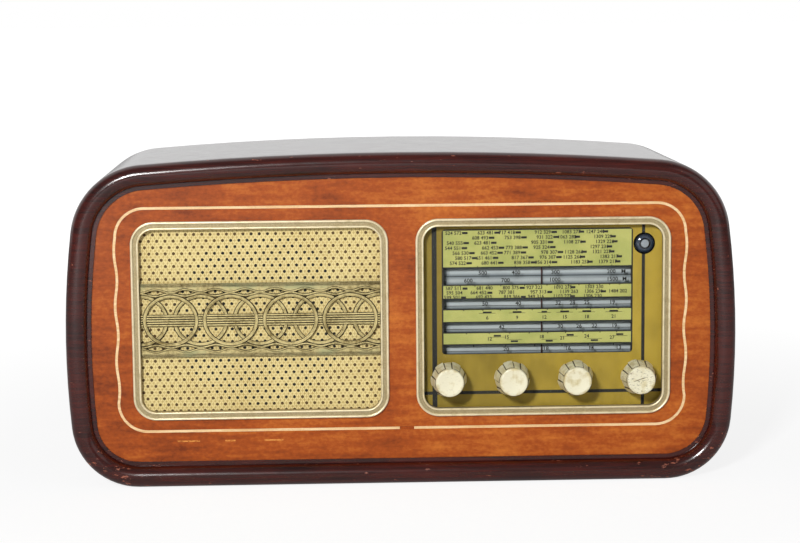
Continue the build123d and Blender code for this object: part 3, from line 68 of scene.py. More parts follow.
class Value:
    """A number that varies over the surface: its operators add Math nodes."""

    def __init__(self, shader: "Shader", socket: bpy.types.NodeSocket) -> None:
        """Wrap an output socket of a shader."""
        self.shader = shader
        self.socket = socket

    def math(self, operation: str, *others: Union[float, "Value"]) -> "Value":
        """Add one Math node.

        Args:
            operation: the Math node's operation.
            others: the operands after this one.

        Returns:
            The node's result.
        """
        inputs = dict(enumerate((self, *others)))
        return self.shader.value("ShaderNodeMath", {"operation": operation}, inputs)

    def __add__(self, other: Union[float, "Value"]) -> "Value":
        """Sum."""
        return self.math("ADD", other)

    __radd__ = __add__

    def __mul__(self, other: Union[float, "Value"]) -> "Value":
        """Product."""
        return self.math("MULTIPLY", other)

    __rmul__ = __mul__

    def __sub__(self, other: Union[float, "Value"]) -> "Value":
        """Difference."""
        return self.math("SUBTRACT", other)

    def __rsub__(self, other: float) -> "Value":
        """Difference from a number."""
        return self * -1.0 + other

    def __truediv__(self, other: Union[float, "Value"]) -> "Value":
        """Quotient."""
        return self.math("DIVIDE", other)

    def __abs__(self) -> "Value":
        """Absolute value."""
        return self.math("ABSOLUTE")

    def below(self, edge: float, soft: float) -> "Value":
        """1 well under the edge and 0 over it, with a soft step between.

        Args:
            edge: where the step ends.
            soft: width of the step.

        Returns:
            The step.
        """
        inputs = {"Value": self, "From Min": edge, "From Max": edge - soft}
        return self.shader.value("ShaderNodeMapRange", {"clamp": True}, inputs)

    def most(self, other: Union[float, "Value"]) -> "Value":
        """The larger of two values."""
        return self.math("MAXIMUM", other)

    def least(self, other: Union[float, "Value"]) -> "Value":
        """The smaller of two values."""
        return self.math("MINIMUM", other)


Input = Union[float, Sequence[float], Value, bpy.types.NodeSocket]
Inputs = Optional[dict[Union[str, int], Input]]


def largest(values: Iterable[Value]) -> Value:
    """The largest of several values."""
    return reduce(Value.most, values)


def only(kind: type, items: Iterable[object]) -> list:
    """Those of an operator's results that are of one kind."""
    return [item for item in items if isinstance(item, kind)]


class Shader:
    """A node material under construction, in object coordinates."""

    def __init__(self, name: str) -> None:
        """Start an empty material."""
        self.material = bpy.data.materials.new(name)
        self.material.use_nodes = True
        self.tree = self.material.node_tree
        self.tree.nodes.clear()
        self.place = self.node("ShaderNodeTexCoord").outputs["Object"]
        parts = self.node("ShaderNodeSeparateXYZ", inputs={0: self.place})
        self.x = Value(self, parts.outputs[0])
        self.y = Value(self, parts.outputs[1])
        self.z = Value(self, parts.outputs[2])

    def node(
        self,
        kind: str,
        settings: Optional[dict[str, object]] = None,
        inputs: Inputs = None,
    ) -> bpy.types.Node:
        """Add any node.

        Args:
            kind: the node's type.
            settings: attributes, set before the sockets; stops fills a colour ramp.
            inputs: numbers, colours or links, by socket name or index.

        Returns:
            The node.
        """
        node = self.tree.nodes.new(kind)
        for key, setting in (settings or {}).items():
            if key == "stops":
                elements = node.color_ramp.elements
                while len(elements) < len(setting):
                    elements.new(0.5)
                for element, (position, colour) in zip(elements, setting):
                    element.position = position
                    element.color = colour
            else:
                setattr(node, key, setting)
        for key, item in (inputs or {}).items():
            if isinstance(item, Value):
                self.tree.links.new(item.socket, node.inputs[key])
            elif isinstance(item, bpy.types.NodeSocket):
                self.tree.links.new(item, node.inputs[key])
            else:
                node.inputs[key].default_value = item
        return node

    def value(
        self,
        kind: str,
        settings: Optional[dict[str, object]] = None,
        inputs: Inputs = None,
        output: Union[str, int] = 0,
    ) -> Value:
        """Add a node and wrap one of its outputs."""
        return Value(self, self.node(kind, settings, inputs).outputs[output])

    def stretched(self, along: float = 1.0, across: float = 1.0, up: float = 1.0) -> Value:
        """Object coordinates multiplied along X, Y and Z."""
        inputs = {"Vector": self.place, "Scale": (along, across, up)}
        return self.value("ShaderNodeMapping", None, inputs)

    def noise(
        self, size: float, detail: float = 3.0, where: Optional[Value] = None, roughness: float = 0.55
    ) -> Value:
        """Noise with features of one size.

        Args:
            size: size of a feature in millimetres.
            detail: how many finer layers there are.
            where: coordinates, if they aren't the plain ones.
            roughness: weight of the finer layers.

        Returns:
            The noise, from 0 to 1.
        """
        inputs = {
            "Vector": where if where is not None else self.place,
            "Scale": 1 / (size * MM),
            "Detail": detail,
            "Roughness": roughness,
        }
        return self.value("ShaderNodeTexNoise", None, inputs)

    def ramp(self, factor: Value, stops: Sequence[tuple[float, Sequence[float]]]) -> Value:
        """Colour ramp over a value."""
        return self.value("ShaderNodeValToRGB", {"stops": stops}, {"Fac": factor}, "Color")

    def mix(self, factor: Union[float, Value], first: Input, second: Input) -> Value:
        """Mix two colours.

        Args:
            factor: 0 gives the first colour and 1 the second.
            first: colour or link.
            second: colour or link.

        Returns:
            The mixed colour.
        """
        inputs = {0: factor, 6: first, 7: second}
        return self.value("ShaderNodeMix", {"data_type": "RGBA"}, inputs, 2)

    def bump(self, height: Value, depth: float) -> Value:
        """Bump of a height that is worth depth millimetres."""
        inputs = {"Height": height, "Distance": depth * MM, "Strength": 1.0}
        return self.value("ShaderNodeBump", None, inputs, "Normal")

    def rectangle(self, low: Sequence[float], high: Sequence[float], radius: float = 0.0) -> Value:
        """Signed distance, in millimetres, to a rounded rectangle on the front.

        Args:
            low: left and bottom in millimetres.
            high: right and top in millimetres.
            radius: corner radius in millimetres.

        Returns:
            The distance, negative inside.
        """
        reach_x = (high[0] - low[0]) / 2 - radius
        reach_z = (high[1] - low[1]) / 2 - radius
        side = abs(self.x / MM - (low[0] + high[0]) / 2) - reach_x
        rise = abs(self.z / MM - (low[1] + high[1]) / 2) - reach_z
        outside_x = side.most(0.0)
        outside_z = rise.most(0.0)
        corner = (outside_x * outside_x + outside_z * outside_z).math("SQRT")
        return corner + side.most(rise).least(0.0) - radius

    def round_distance(self, centre_x: float, centre_z: float) -> Value:
        """Distance on the front, in millimetres, from a point."""
        side = self.x / MM - centre_x
        rise = self.z / MM - centre_z
        return (side * side + rise * rise).math("SQRT")

    def close(self, **inputs: Input) -> bpy.types.Material:
        """End with a Principled BSDF.

        Args:
            inputs: its sockets, with an underscore for each space.

        Returns:
            The material.
        """
        named = {key.replace("_", " "): item for key, item in inputs.items()}
        surface = self.node("ShaderNodeBsdfPrincipled", None, named)
        self.node("ShaderNodeOutputMaterial", None, {"Surface": surface.outputs[0]})
        return self.material


@dataclass(frozen=True)
class DarkLacquer:
    """Dark stained wood under gloss lacquer, worn along its lower edges."""

    name: str = "dark_lacquer"
    deep: tuple = srgb(34, 7, 6)
    warm: tuple = srgb(78, 22, 14)
    bare: tuple = srgb(150, 84, 62)
    wear: float = 1.0

    def material(self) -> bpy.types.Material:
        """Build the material."""
        shader = Shader(self.name)
        grain = shader.noise(2.2, 6.0, shader.stretched(0.06, 0.25, 1.0), 0.65)
        cloud = shader.noise(60.0, 3.0, shader.stretched(0.4, 1.0, 1.0))
        figure = grain * 0.65 + cloud * 0.35
        wood = shader.ramp(figure, [(0.36, self.deep), (0.66, self.warm)])
        scuffs = shader.noise(5.0, 5.0, shader.stretched(0.35, 1.0, 1.0), 0.7)
        low = (shader.z / MM).below(62.0, 55.0)
        edge = (abs(shader.x) / MM).below(190.0, -90.0)
        scuffed = (scuffs + low * edge * 0.13).below(0.66, -0.035) * self.wear
        colour = shader.mix(scuffed, wood, self.bare)
        roughness = 0.16 + scuffed * 0.3 + shader.noise(14.0, 4.0) * 0.08
        bump = shader.bump(grain, 0.05)
        return shader.close(
            Base_Color=colour,
            Roughness=roughness,
            Normal=bump,
            Coat_Weight=0.2,
            Coat_Roughness=0.08,
        )


@dataclass(frozen=True)
class FiguredVeneer:
    """Orange-red figured veneer under gloss lacquer, with a few scratches."""

    name: str = "figured_veneer"
    deep: tuple = srgb(120, 48, 4)
    middle: tuple = srgb(168, 76, 14)
    light: tuple = srgb(202, 112, 36)
    scratch: tuple = srgb(226, 150, 70)
    scratches: tuple = ((-203.0, 20.0), (-160.0, 9.0), (-125.0, 17.0))
    scratch_height: float = 40.6
    scratch_half: float = 0.5

    def material(self) -> bpy.types.Material:
        """Build the material."""
        shader = Shader(self.name)
        streak = shader.noise(7.0, 5.0, shader.stretched(0.16, 1.0, 1.0), 0.6)
        fleck = shader.noise(2.4, 4.0, shader.stretched(0.55, 1.0, 0.8), 0.7)
        cloud = shader.noise(75.0, 2.0)
        pore = shader.noise(0.9, 2.0, shader.stretched(0.12, 1.0, 1.0), 0.8)
        figure = streak * 0.36 + fleck * 0.3 + cloud * 0.34
        wood = shader.ramp(figure, [(0.36, self.deep), (0.5, self.middle), (0.64, self.light)])
        wood = shader.mix(pore.below(0.4, 0.12) * 0.35, wood, self.deep)
        broken = shader.noise(3.0, 3.0, shader.stretched(1.0, 1.0, 3.0), 0.7)
        foot, crown = self.scratch_height - self.scratch_half, self.scratch_height + self.scratch_half
        marks = largest(
            shader.rectangle((left, foot), (left + length, crown), 0.4).below(0.4, 0.5)
            for left, length in self.scratches
        )
        colour = shader.mix(marks * broken.below(0.42, -0.08), wood, self.scratch)
        roughness = 0.26 + streak * 0.12
        return shader.close(
            Base_Color=colour,
            Roughness=roughness,
            Normal=shader.bump(pore, 0.02),
            Specular_IOR_Level=0.3,
            Coat_Weight=0.12,
            Coat_Roughness=0.15,
        )


@dataclass(frozen=True)
class PlainWood:
    """Plain wood with fine grain, bare or lightly finished."""

    name: str
    dark: tuple
    light: tuple
    roughness: float = 0.6
    grain: float = 3.0

    def material(self) -> bpy.types.Material:
        """Build the material."""
        shader = Shader(self.name)
        grain = shader.noise(self.grain, 6.0, shader.stretched(0.08, 1.0, 1.0), 0.65)
        spots = shader.noise(1.4, 2.0)
        colour = shader.ramp(grain * 0.8 + spots * 0.2, [(0.36, self.dark), (0.62, self.light)])
        return shader.close(
            Base_Color=colour,
            Roughness=self.roughness + grain * 0.1,
            Normal=shader.bump(grain, 0.12),
        )


@dataclass(frozen=True)
class GiltMetal:
    """Pressed gilt strip: polished beads and a hammered groove between them, the groove drawn darker for
    its dull finish and as painted shade.
    """

    name: str = "gilt_metal"
    bright: tuple = srgb(252, 238, 200)
    dull: tuple = srgb(206, 188, 138)
    groove_dull_and_shade: tuple = srgb(146, 130, 92)

    def material(self) -> bpy.types.Material:
        """Build the material."""
        shader = Shader(self.name)
        hammer = shader.noise(1.3, 2.0)
        tarnish = shader.noise(9.0, 4.0, None, 0.65)
        depth = shader.y / MM + 99.0
        groove = (depth + 1.75).below(0.0, -0.3)
        colour = shader.ramp(tarnish, [(0.5, self.bright), (0.8, self.dull)])
        # the groove is painted darker: partly its dull hammered finish, partly painted shade in the hollow
        colour = shader.mix(groove * (0.6 + hammer * 0.5), colour, self.groove_dull_and_shade)
        roughness = 0.28 + groove * 0.2 + tarnish * 0.1
        bump = shader.bump(hammer * groove, 0.25)
        return shader.close(Base_Color=colour, Metallic=0.5, Roughness=roughness, Normal=bump)


@dataclass(frozen=True)
class StrawMat:
    """Mat embossed like woven straw, with staggered round holes."""

    name: str = "straw_mat"
    straw: tuple = srgb(234, 215, 150)
    shade: tuple = srgb(180, 150, 82)
    stain: tuple = srgb(176, 138, 78)
    board_hole_shade: tuple = srgb(92, 68, 28)
    opening_hole_shade: tuple = srgb(10, 7, 3)
    pitch_x: float = 7.3
    pitch_z: float = 5.7
    hole_radius: float = 1.5
    centre: tuple = (-126.7, 149.8)
    aperture_radius: float = 78.0

    def material(self) -> bpy.types.Material:
        """Build the material."""
        shader = Shader(self.name)
        across = (shader.x / MM - self.centre[0]) / self.pitch_x
        up = (shader.z / MM - self.centre[1]) / self.pitch_z
        row = up.math("FLOOR")
        stagger = row.math("FLOORED_MODULO", 2.0) * 0.5
        side = ((across + stagger).math("FRACT") - 0.5) * self.pitch_x
        rise = (up.math("FRACT") - 0.5) * self.pitch_z
        away = (side * side + rise * rise).math("SQRT") + shader.noise(1.6, 1.0) * 0.2 - 0.1
        hole = away.below(self.hole_radius, 0.35)
        turn = math.pi * 4
        one = 0.5 - ((across - 0.5 + (up - 0.5) * 0.5) * turn).math("COSINE") * 0.5
        other = 0.5 - ((across - 0.5 - (up - 0.5) * 0.5) * turn).math("COSINE") * 0.5
        fibres = shader.noise(1.1, 3.0, None, 0.7)
        weave = (one.most(other) * 0.4 + abs(one - other) * 0.2) + fibres * 0.55
        cloud = shader.noise(26.0, 4.0, None, 0.6)
        # painted shade: the weave's low parts take the shade colour and its crests the straw colour; fibres
        # and cloud give real tone
        straw = shader.ramp(weave * 0.7 + cloud * 0.3, [(0.3, self.shade), (0.72, self.straw)])
        corner = shader.round_distance(-48.0, 92.0).below(60.0, 50.0)
        spots = shader.noise(11.0, 4.0, None, 0.7) + corner * 0.1
        straw = shader.mix(spots.below(0.7, -0.09) * 0.45, straw, self.stain)
        # painted shade: the holes take the colour of the shaded space behind the mat, near black over the
        # speaker opening and dark brown over the board
        inside = shader.round_distance(*self.centre).below(self.aperture_radius + 1.0, 2.0)
        hole_shade_colour = shader.mix(inside, self.board_hole_shade, self.opening_hole_shade)
        bump = shader.bump(weave * (1 - hole) - hole, 0.4)
        return shader.close(Base_Color=shader.mix(hole, straw, hole_shade_colour), Roughness=0.72, Normal=bump)


@dataclass(frozen=True)
class TarnishedBronze:
    """Cast fretwork in bronze gilt, with green tarnish on its plates; its walls take a darker second
    material, patina and painted shade.
    """

    name: str = "tarnished_bronze"
    gilt: tuple = srgb(206, 190, 134)
    brown: tuple = srgb(126, 108, 58)
    green: tuple = srgb(150, 158, 116)
    middle_height: float = 149.8
    plate_start: float = 26.5

    def material(self) -> bpy.types.Material:
        """Build the material."""
        shader = Shader(self.name)
        spots = shader.noise(3.4, 5.0, None, 0.7)
        cloud = shader.noise(24.0, 3.0, shader.stretched(0.6, 1.0, 1.0), 0.6)
        colour = shader.ramp(spots * 0.55 + cloud * 0.45, [(0.36, self.brown), (0.54, self.gilt)])
        plate = abs(shader.z / MM - self.middle_height).below(self.plate_start, -2.0)
        colour = shader.mix(cloud.below(0.5, -0.12) * plate * 0.6, colour, self.green)
        return shader.close(
            Base_Color=colour,
            Metallic=0.45,
            Roughness=0.42 + spots * 0.2,
            Normal=shader.bump(spots, 0.12),
        )


@dataclass(frozen=True)
class ScaleCard:
    """Printed dial plate: gold ground, yellow-green station panels with black outlines, black rules."""

    name: str = "scale_card"
    gold_dark: tuple = srgb(142, 120, 22)
    gold_light: tuple = srgb(188, 160, 48)
    panel: tuple = srgb(194, 194, 108)
    panel_shade: tuple = srgb(176, 180, 96)
    ink: tuple = srgb(22, 22, 16)
    left: float = 36.4
    right: float = 208.2
    bands: tuple = ((193.0, 228.0), (164.7, 178.1), (143.4, 156.0), (123.0, 134.8))
    foot: float = 115.0
    rule_left: float = 29.4
    rule_right: float = 218.0
    rule_height: float = 79.5
    rule_width: float = 3.4
    left_rule_width: float = 4.8
    outline: float = 0.9

    def material(self) -> bpy.types.Material:
        """Build the material."""
        shader = Shader(self.name)
        mottle = shader.noise(16.0, 4.0, shader.stretched(1.0, 1.0, 0.5), 0.6)
        drift = (shader.x / MM).below(235.0, 220.0)
        gold = mottle * 0.6 + (1 - drift) * 0.4
        ground = shader.ramp(gold, [(0.3, self.gold_dark), (0.7, self.gold_light)])
        faded = shader.noise(30.0, 3.0)
        panel_colour = shader.ramp(faded, [(0.4, self.panel_shade), (0.6, self.panel)])
        whole = shader.rectangle((self.left, self.foot), (self.right, self.bands[0][1]), 3.0)
        panels = largest(
            shader.rectangle((self.left, low), (self.right, high), 1.0).below(-self.outline, 0.3)
            for low, high in self.bands
        )
        colour = shader.mix(whole.below(self.outline / 2, 0.3), ground, self.ink)
        colour = shader.mix(panels, colour, panel_colour)
        rules = largest(
            abs(along / MM - place).below(width / 2, 0.4)
            for along, place, width in (
                (shader.x, self.rule_left, self.left_rule_width),
                (shader.x, self.rule_right, self.rule_width),
                (shader.z, self.rule_height, self.rule_width),
            )
        )
        colour = shader.mix(rules * (1 - whole.below(0.0, 0.3)), colour, self.ink)
        bump = shader.bump(mottle, 0.03)
        return shader.close(Base_Color=colour, Roughness=0.45 + mottle * 0.15, Normal=bump)


@dataclass(frozen=True)
class SlotBacking:
    """Pale enamel behind the slots, with a painted lit band in each slot and painted shade under each
    slot's edges and at its left end.
    """

    name: str = "slot_backing"
    pale: tuple = srgb(204, 213, 214)
    painted_shade_grey: tuple = srgb(104, 115, 120)
    dark: tuple = srgb(28, 34, 40)
    slots: tuple = ((178.1, 185.4), (185.8, 193.0), (156.0, 164.7), (134.8, 143.4), (115.0, 123.0))
    left: float = 38.0
    lift: float = 1.2

    def material(self) -> bpy.types.Material:
        """Build the material."""
        shader = Shader(self.name)
        streaks = shader.noise(9.0, 4.0, shader.stretched(0.3, 1.0, 1.0), 0.6)
        # painted light: a pale band in each slot, lowered by lift; the rest of the backing shows the
        # painted shade grey
        lit = largest(
            abs(shader.z / MM - ((low + high) / 2 - self.lift)).below((high - low) / 2, (high - low) / 2.6)
            for low, high in self.slots
        )
        colour = shader.mix(lit * (0.6 + streaks * 0.5), self.painted_shade_grey, self.pale)
        # painted shade: the slots' left end is darkened towards the dark colour
        end = (shader.x / MM - self.left + streaks * 3.0).below(8.0, 7.0)
        colour = shader.mix(end, colour, self.dark)
        bump = shader.bump(streaks, 0.05)
        return shader.close(Base_Color=colour, Roughness=0.5 + streaks * 0.2, Normal=bump)


@dataclass(frozen=True)
class Moulding:
    """Moulded plastic or rubber, plain or faintly mottled."""

    name: str
    base: tuple
    shade: tuple
    roughness: float = 0.3
    size: float = 12.0
    bump: float = 0.03
    coat: float = 0.0

    def material(self) -> bpy.types.Material:
        """Build the material."""
        shader = Shader(self.name)
        mottle = shader.noise(self.size, 4.0, None, 0.6)
        colour = shader.ramp(mottle, [(0.38, self.shade), (0.6, self.base)])
        return shader.close(
            Base_Color=colour,
            Roughness=self.roughness + mottle * 0.1,
            Normal=shader.bump(mottle, self.bump),
            Coat_Weight=self.coat,
        )


@dataclass(frozen=True)
class WornIvory:
    """Yellowed ivory plastic with grime and fine scratches, and on the worn knob a scratched stroke across
    its face.
    """

    name: str
    centre: tuple
    wear: float = 0.3
    ivory: tuple = srgb(238, 232, 202)
    yellow: tuple = srgb(212, 198, 150)
    grime: tuple = srgb(110, 92, 54)

    def material(self) -> bpy.types.Material:
        """Build the material."""
        shader = Shader(self.name)
        cloud = shader.noise(7.0, 4.0, None, 0.6)
        away = shader.round_distance(*self.centre)
        # painted light: the flat face, which looks towards the lamps, is drawn lighter than the sides
        face = away.below(11.6, 2.0)
        colour = shader.ramp(cloud + face * 0.1, [(0.38, self.yellow), (0.58, self.ivory)])
        scratch = shader.noise(1.5, 5.0, shader.stretched(0.5, 1.0, 1.6), 0.75)
        dirty = scratch.below(0.6 - 0.04 * self.wear, -0.05) * self.wear
        stroke = abs((shader.x / MM - self.centre[0]) * 0.35 - (shader.z / MM - self.centre[1]) + 1.5)
        stroke = stroke.below(0.7, 0.5) * away.below(7.5, 2.0) * scratch.below(0.42, -0.06)
        colour = shader.mix((dirty + stroke * self.wear**3).least(1.0), colour, self.grime)
        return shader.close(
            Base_Color=colour,
            Roughness=0.3 + cloud * 0.15,
            Normal=shader.bump(scratch, 0.04 + 0.08 * self.wear),
            Coat_Weight=0.2,
        )


@dataclass(frozen=True)
class Metal:
    """Bare or plated metal with a brushed or mottled surface."""

    name: str
    base: tuple
    shade: tuple
    roughness: float = 0.35
    metallic: float = 0.9
    brushed: float = 0.2

    def material(self) -> bpy.types.Material:
        """Build the material."""
        shader = Shader(self.name)
        brush = shader.noise(1.8, 4.0, shader.stretched(self.brushed, 1.0, 1.0), 0.6)
        stain = shader.noise(18.0, 4.0, None, 0.65)
        colour = shader.ramp(brush * 0.4 + stain * 0.6, [(0.4, self.shade), (0.6, self.base)])
        return shader.close(
            Base_Color=colour,
            Metallic=self.metallic,
            Roughness=self.roughness + stain * 0.15,
            Normal=shader.bump(brush, 0.03),
        )


@dataclass(frozen=True)
class Pane:
    """Clear glass: a thin tint with faint dust."""

    name: str
    tint: tuple = srgb(60, 66, 64)
    alpha: float = 0.02
    dust: float = 0.03
    roughness: float = 0.04
    shine: float = 0.25

    def material(self) -> bpy.types.Material:
        """Build the material."""
        shader = Shader(self.name)
        dust = shader.noise(20.0, 5.0, None, 0.7).below(0.5, -0.2)
        return shader.close(
            Base_Color=self.tint,
            Alpha=self.alpha + dust * self.dust,
            Roughness=self.roughness + dust * 0.1,
            Specular_IOR_Level=self.shine,
        )


@dataclass(frozen=True)
class EyeGlass:
    """Domed end of the tuning eye: dark glass with a pale cap at its centre."""

    name: str = "eye_glass"
    centre: tuple = (218.7, 213.7)
    glass: tuple = srgb(6, 9, 16)
    ring: tuple = srgb(74, 86, 104)
    cap: tuple = srgb(158, 166, 172)
    cap_radius: float = 3.9

    def material(self) -> bpy.types.Material:
        """Build the material."""
        shader = Shader(self.name)
        away = shader.round_distance(self.centre[0] + 0.8, self.centre[1] - 0.4)
        speck = shader.noise(2.0, 3.0)
        halo = away.below(9.2, 4.5)
        colour = shader.mix(halo, self.glass, self.ring)
        colour = shader.mix(away.below(self.cap_radius + 1.6, 0.6), colour, self.glass)
        colour = shader.mix(away.below(self.cap_radius, 0.7), colour, self.cap)
        front = (shader.y / MM).below(-80.0, 2.0)
        colour = shader.mix(front, shader.mix(speck, self.glass, self.ring), colour)
        return shader.close(Base_Color=colour, Roughness=0.06 + speck * 0.05, Coat_Weight=0.6)


@dataclass(frozen=True)
class SpeakerPaper:
    """Pressed paper cone with fine ridges round its axis."""

    name: str = "speaker_paper"
    base: tuple = srgb(70, 66, 62)
    shade: tuple = srgb(40, 37, 34)
    centre: tuple = (-126.7, 149.8)
    ridge_pitch: float = 3.2

    def material(self) -> bpy.types.Material:
        """Build the material."""
        shader = Shader(self.name)
        ridges = (shader.round_distance(*self.centre) * (2 * math.pi / self.ridge_pitch)).math("SINE")
        fibre = shader.noise(1.6, 4.0, None, 0.7)
        colour = shader.ramp(fibre, [(0.35, self.shade), (0.65, self.base)])
        return shader.close(Base_Color=colour, Roughness=0.9, Normal=shader.bump(ridges * 0.5 + fibre, 0.3))


@dataclass(frozen=True)
class Hardboard:
    """Pressed brown board with coarse fibres and a fine mesh pattern."""

    name: str = "hardboard"
    base: tuple = srgb(128, 92, 60)
    shade: tuple = srgb(86, 58, 36)

    def material(self) -> bpy.types.Material:
        """Build the material."""
        shader = Shader(self.name)
        fibre = shader.noise(2.6, 6.0, None, 0.75)
        cloud = shader.noise(70.0, 3.0)
        mesh = ((shader.x / MM * 2.4).math("SINE") * (shader.z / MM * 2.4).math("SINE")) * 0.12
        colour = shader.ramp(fibre * 0.6 + cloud * 0.4 + mesh, [(0.36, self.shade), (0.62, self.base)])
        return shader.close(Base_Color=colour, Roughness=0.82, Normal=shader.bump(fibre + mesh, 0.2))


@dataclass(frozen=True)
class Laminations:
    """Stacked iron plates, rusty in places."""

    name: str = "laminations"
    iron: tuple = srgb(70, 64, 60)
    edge: tuple = srgb(36, 32, 30)
    rusty: tuple = srgb(110, 66, 38)
    plate: float = 0.8

    def material(self) -> bpy.types.Material:
        """Build the material."""
        shader = Shader(self.name)
        lines = (shader.y / MM * (2 * math.pi / self.plate)).math("SINE") * 0.5 + 0.5
        rust = shader.noise(6.0, 5.0, None, 0.7)
        colour = shader.mix(lines * 0.6, self.iron, self.edge)
        colour = shader.mix(rust.below(0.6, -0.1) * 0.7, colour, self.rusty)
        return shader.close(Base_Color=colour, Roughness=0.55, Metallic=0.4, Normal=shader.bump(lines, 0.1))


@dataclass(frozen=True)
class TwistedCord:
    """Fine braided cord with slanting strands."""

    name: str = "twisted_cord"
    base: tuple = srgb(206, 190, 146)
    shade: tuple = srgb(128, 108, 70)

    def material(self) -> bpy.types.Material:
        """Build the material."""
        shader = Shader(self.name)
        slant = ((shader.x + shader.z + shader.y * 2.0) / MM * 5.0).math("SINE") * 0.5 + 0.5
        colour = shader.mix(slant, self.shade, self.base)
        return shader.close(Base_Color=colour, Roughness=0.8, Normal=shader.bump(slant, 0.08))


class Shading(Enum):
    """How a mesh's edges are shaded, by the angle from which an edge is sharp."""

    CRISP = 28.0
    ROUND = 50.0


def dress(node: str, finish: object, shading: Shading = Shading.CRISP) -> bpy.types.Object:
    """Give a CAD node its finish and smooth its round faces.

    Args:
        node: the node's name.
        finish: the finish that builds its material.
        shading: how its edges are shaded.

    Returns:
        The node's object.
    """
    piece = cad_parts[node]
    piece.data.materials.clear()
    piece.data.materials.append(finish.material())
    for polygon in piece.data.polygons:
        polygon.use_smooth = True
    weld = piece.modifiers.new("weld", "WELD")
    weld.merge_threshold = WELD * MM
    split = piece.modifiers.new("edges", "EDGE_SPLIT")
    split.split_angle = math.radians(shading.value)
    LOG.info("dressed %s", node)
    return piece


class Piece:
    """A mesh under construction, in millimetres, finished as one named object."""

    def __init__(self, name: str) -> None:
        """Start an empty mesh."""
        self.name = name
        self.bm = bmesh.new()

    def move(self, verts: Sequence[bmesh.types.BMVert], by: Sequence[float]) -> None:
        """Move vertices by a vector."""
        bmesh.ops.translate(self.bm, verts=list(verts), vec=Vector(by))

    def block(self, centre: Sequence[float], size: Sequence[float]) -> list[bmesh.types.BMVert]:
        """Add a box.

        Args:
            centre: its middle.
            size: its three sizes.

        Returns:
            Its vertices.
        """
        place = Matrix.Translation(Vector(centre)) @ Matrix.Diagonal((*size, 1.0))
        return bmesh.ops.create_cube(self.bm, size=1.0, matrix=place)["verts"]

    def outline(self, spots: Sequence[Vector]) -> tuple[list[bmesh.types.BMVert], list[bmesh.types.BMEdge]]:
        """Join points in a row, and in a ring if the last is where the first is.

        Args:
            spots: the points.

        Returns:
            The new vertices and edges.
        """
        closed = (spots[0] - spots[-1]).length < 1e-6
        verts = [self.bm.verts.new(spot) for spot in (spots[:-1] if closed else spots)]
        pairs = list(zip(verts, verts[1:]))
        if closed:
            pairs.append((verts[-1], verts[0]))
        return verts, [self.bm.edges.new(pair) for pair in pairs]

    def framed(
        self, profile: Sequence[tuple[float, float]], centre: Vector, size: Sequence[float], radius: float
    ) -> None:
        """Lead a closed profile round a rounded rectangle on the front.

        Args:
            profile: points as distance outside the path and depth.
            centre: the rectangle's middle.
            size: the path's width and height.
            radius: the path's corner radius.
        """
        half_x, half_z = size[0] / 2 - radius, size[1] / 2 - radius
        start = Vector((centre.x + size[0] / 2, 0, centre.z - half_z))
        verts, edges = self.outline([start + Vector((out, depth, 0)) for out, depth in profile])
        last: list[object] = [*verts, *edges]
        sides = ((half_x, half_z, (0, 0, 1)), (-half_x, half_z, (-1, 0, 0)))
        sides += ((-half_x, -half_z, (0, 0, -1)), (half_x, -half_z, (1, 0, 0)))
        for x, z, along in sides:
            length = 2 * (half_z if along[2] else half_x)
            made = bmesh.ops.extrude_edge_only(self.bm, edges=only(bmesh.types.BMEdge, last))["geom"]
            ends = only(bmesh.types.BMVert, made)
            self.move(ends, Vector(along) * length)
            rim = [edge for edge in only(bmesh.types.BMEdge, made) if set(edge.verts) <= set(ends)]
            turned = bmesh.ops.spin(
                self.bm,
                geom=ends + rim,
                cent=Vector((centre.x + x, 0, centre.z + z)),
                axis=(0, -1, 0),
                dvec=(0, 0, 0),
                angle=math.pi / 2,
                steps=16,
            )
            last = list(turned["geom_last"])

    def turned(
        self,
        profile: Sequence[tuple[float, float]],
        centre: Sequence[float],
        axis: Sequence[float] = (0, 1, 0),
        steps: int = 64,
        material: int = 0,
    ) -> list[bmesh.types.BMVert]:
        """Spin a profile of radius and height round an axis.

        Args:
            profile: points as radius and distance along the axis; a closed one ends where it starts.
            centre: a point on the axis, where the distance is 0.
            axis: the axis, along Y or Z.
            steps: how many facets there are round it.
            material: index of the faces' material.

        Returns:
            The new vertices.
        """
        line = Vector(axis)
        spots = [Vector(centre) + Vector((radius, 0, 0)) + line * height for radius, height in profile]
        verts, edges = self.outline(spots)
        before = set(self.bm.faces)
        bmesh.ops.spin(
            self.bm,
            geom=verts + edges,
            cent=Vector(centre),
            axis=line,
            dvec=(0, 0, 0),
            angle=2 * math.pi,
            steps=steps,
            use_merge=True,
        )
        faces = [face for face in self.bm.faces if face not in before]
        for face in faces:
            face.material_index = material
        return list({vert for face in faces for vert in face.verts})

    def strip(
        self,
        length: float,
        width: float,
        thickness: float,
        middle: Sequence[float],
        centre_line: Callable[[float], float],
        crown: float = 0.0,
        segments: int = 160,
        across: int = 6,
    ) -> None:
        """Add a strip along X whose middle line waves up and down.

        Args:
            length: length along X.
            width: height along Z.
            thickness: depth along Y.
            middle: centre of its front face.
            centre_line: rise of its middle line at an x counted from the middle.
            crown: how far its middle stands out from its edges.
            segments: facets along its length.
            across: facets over its width.
        """
        lay = Matrix.Rotation(math.pi / 2, 4, "X")
        made = bmesh.ops.create_grid(self.bm, x_segments=segments, y_segments=across, size=0.5, matrix=lay)
        verts = made["verts"]
        for vert in verts:
            share = vert.co.z * 2
            x = vert.co.x * length
            rise = centre_line(x) + vert.co.z * width
            vert.co = Vector(middle) + Vector((x, crown * share * share - crown, rise))
        faces = list({face for vert in verts for face in vert.link_faces})
        back = bmesh.ops.extrude_face_region(self.bm, geom=faces)["geom"]
        for vert in only(bmesh.types.BMVert, back):
            vert.co.y = middle[1] + thickness

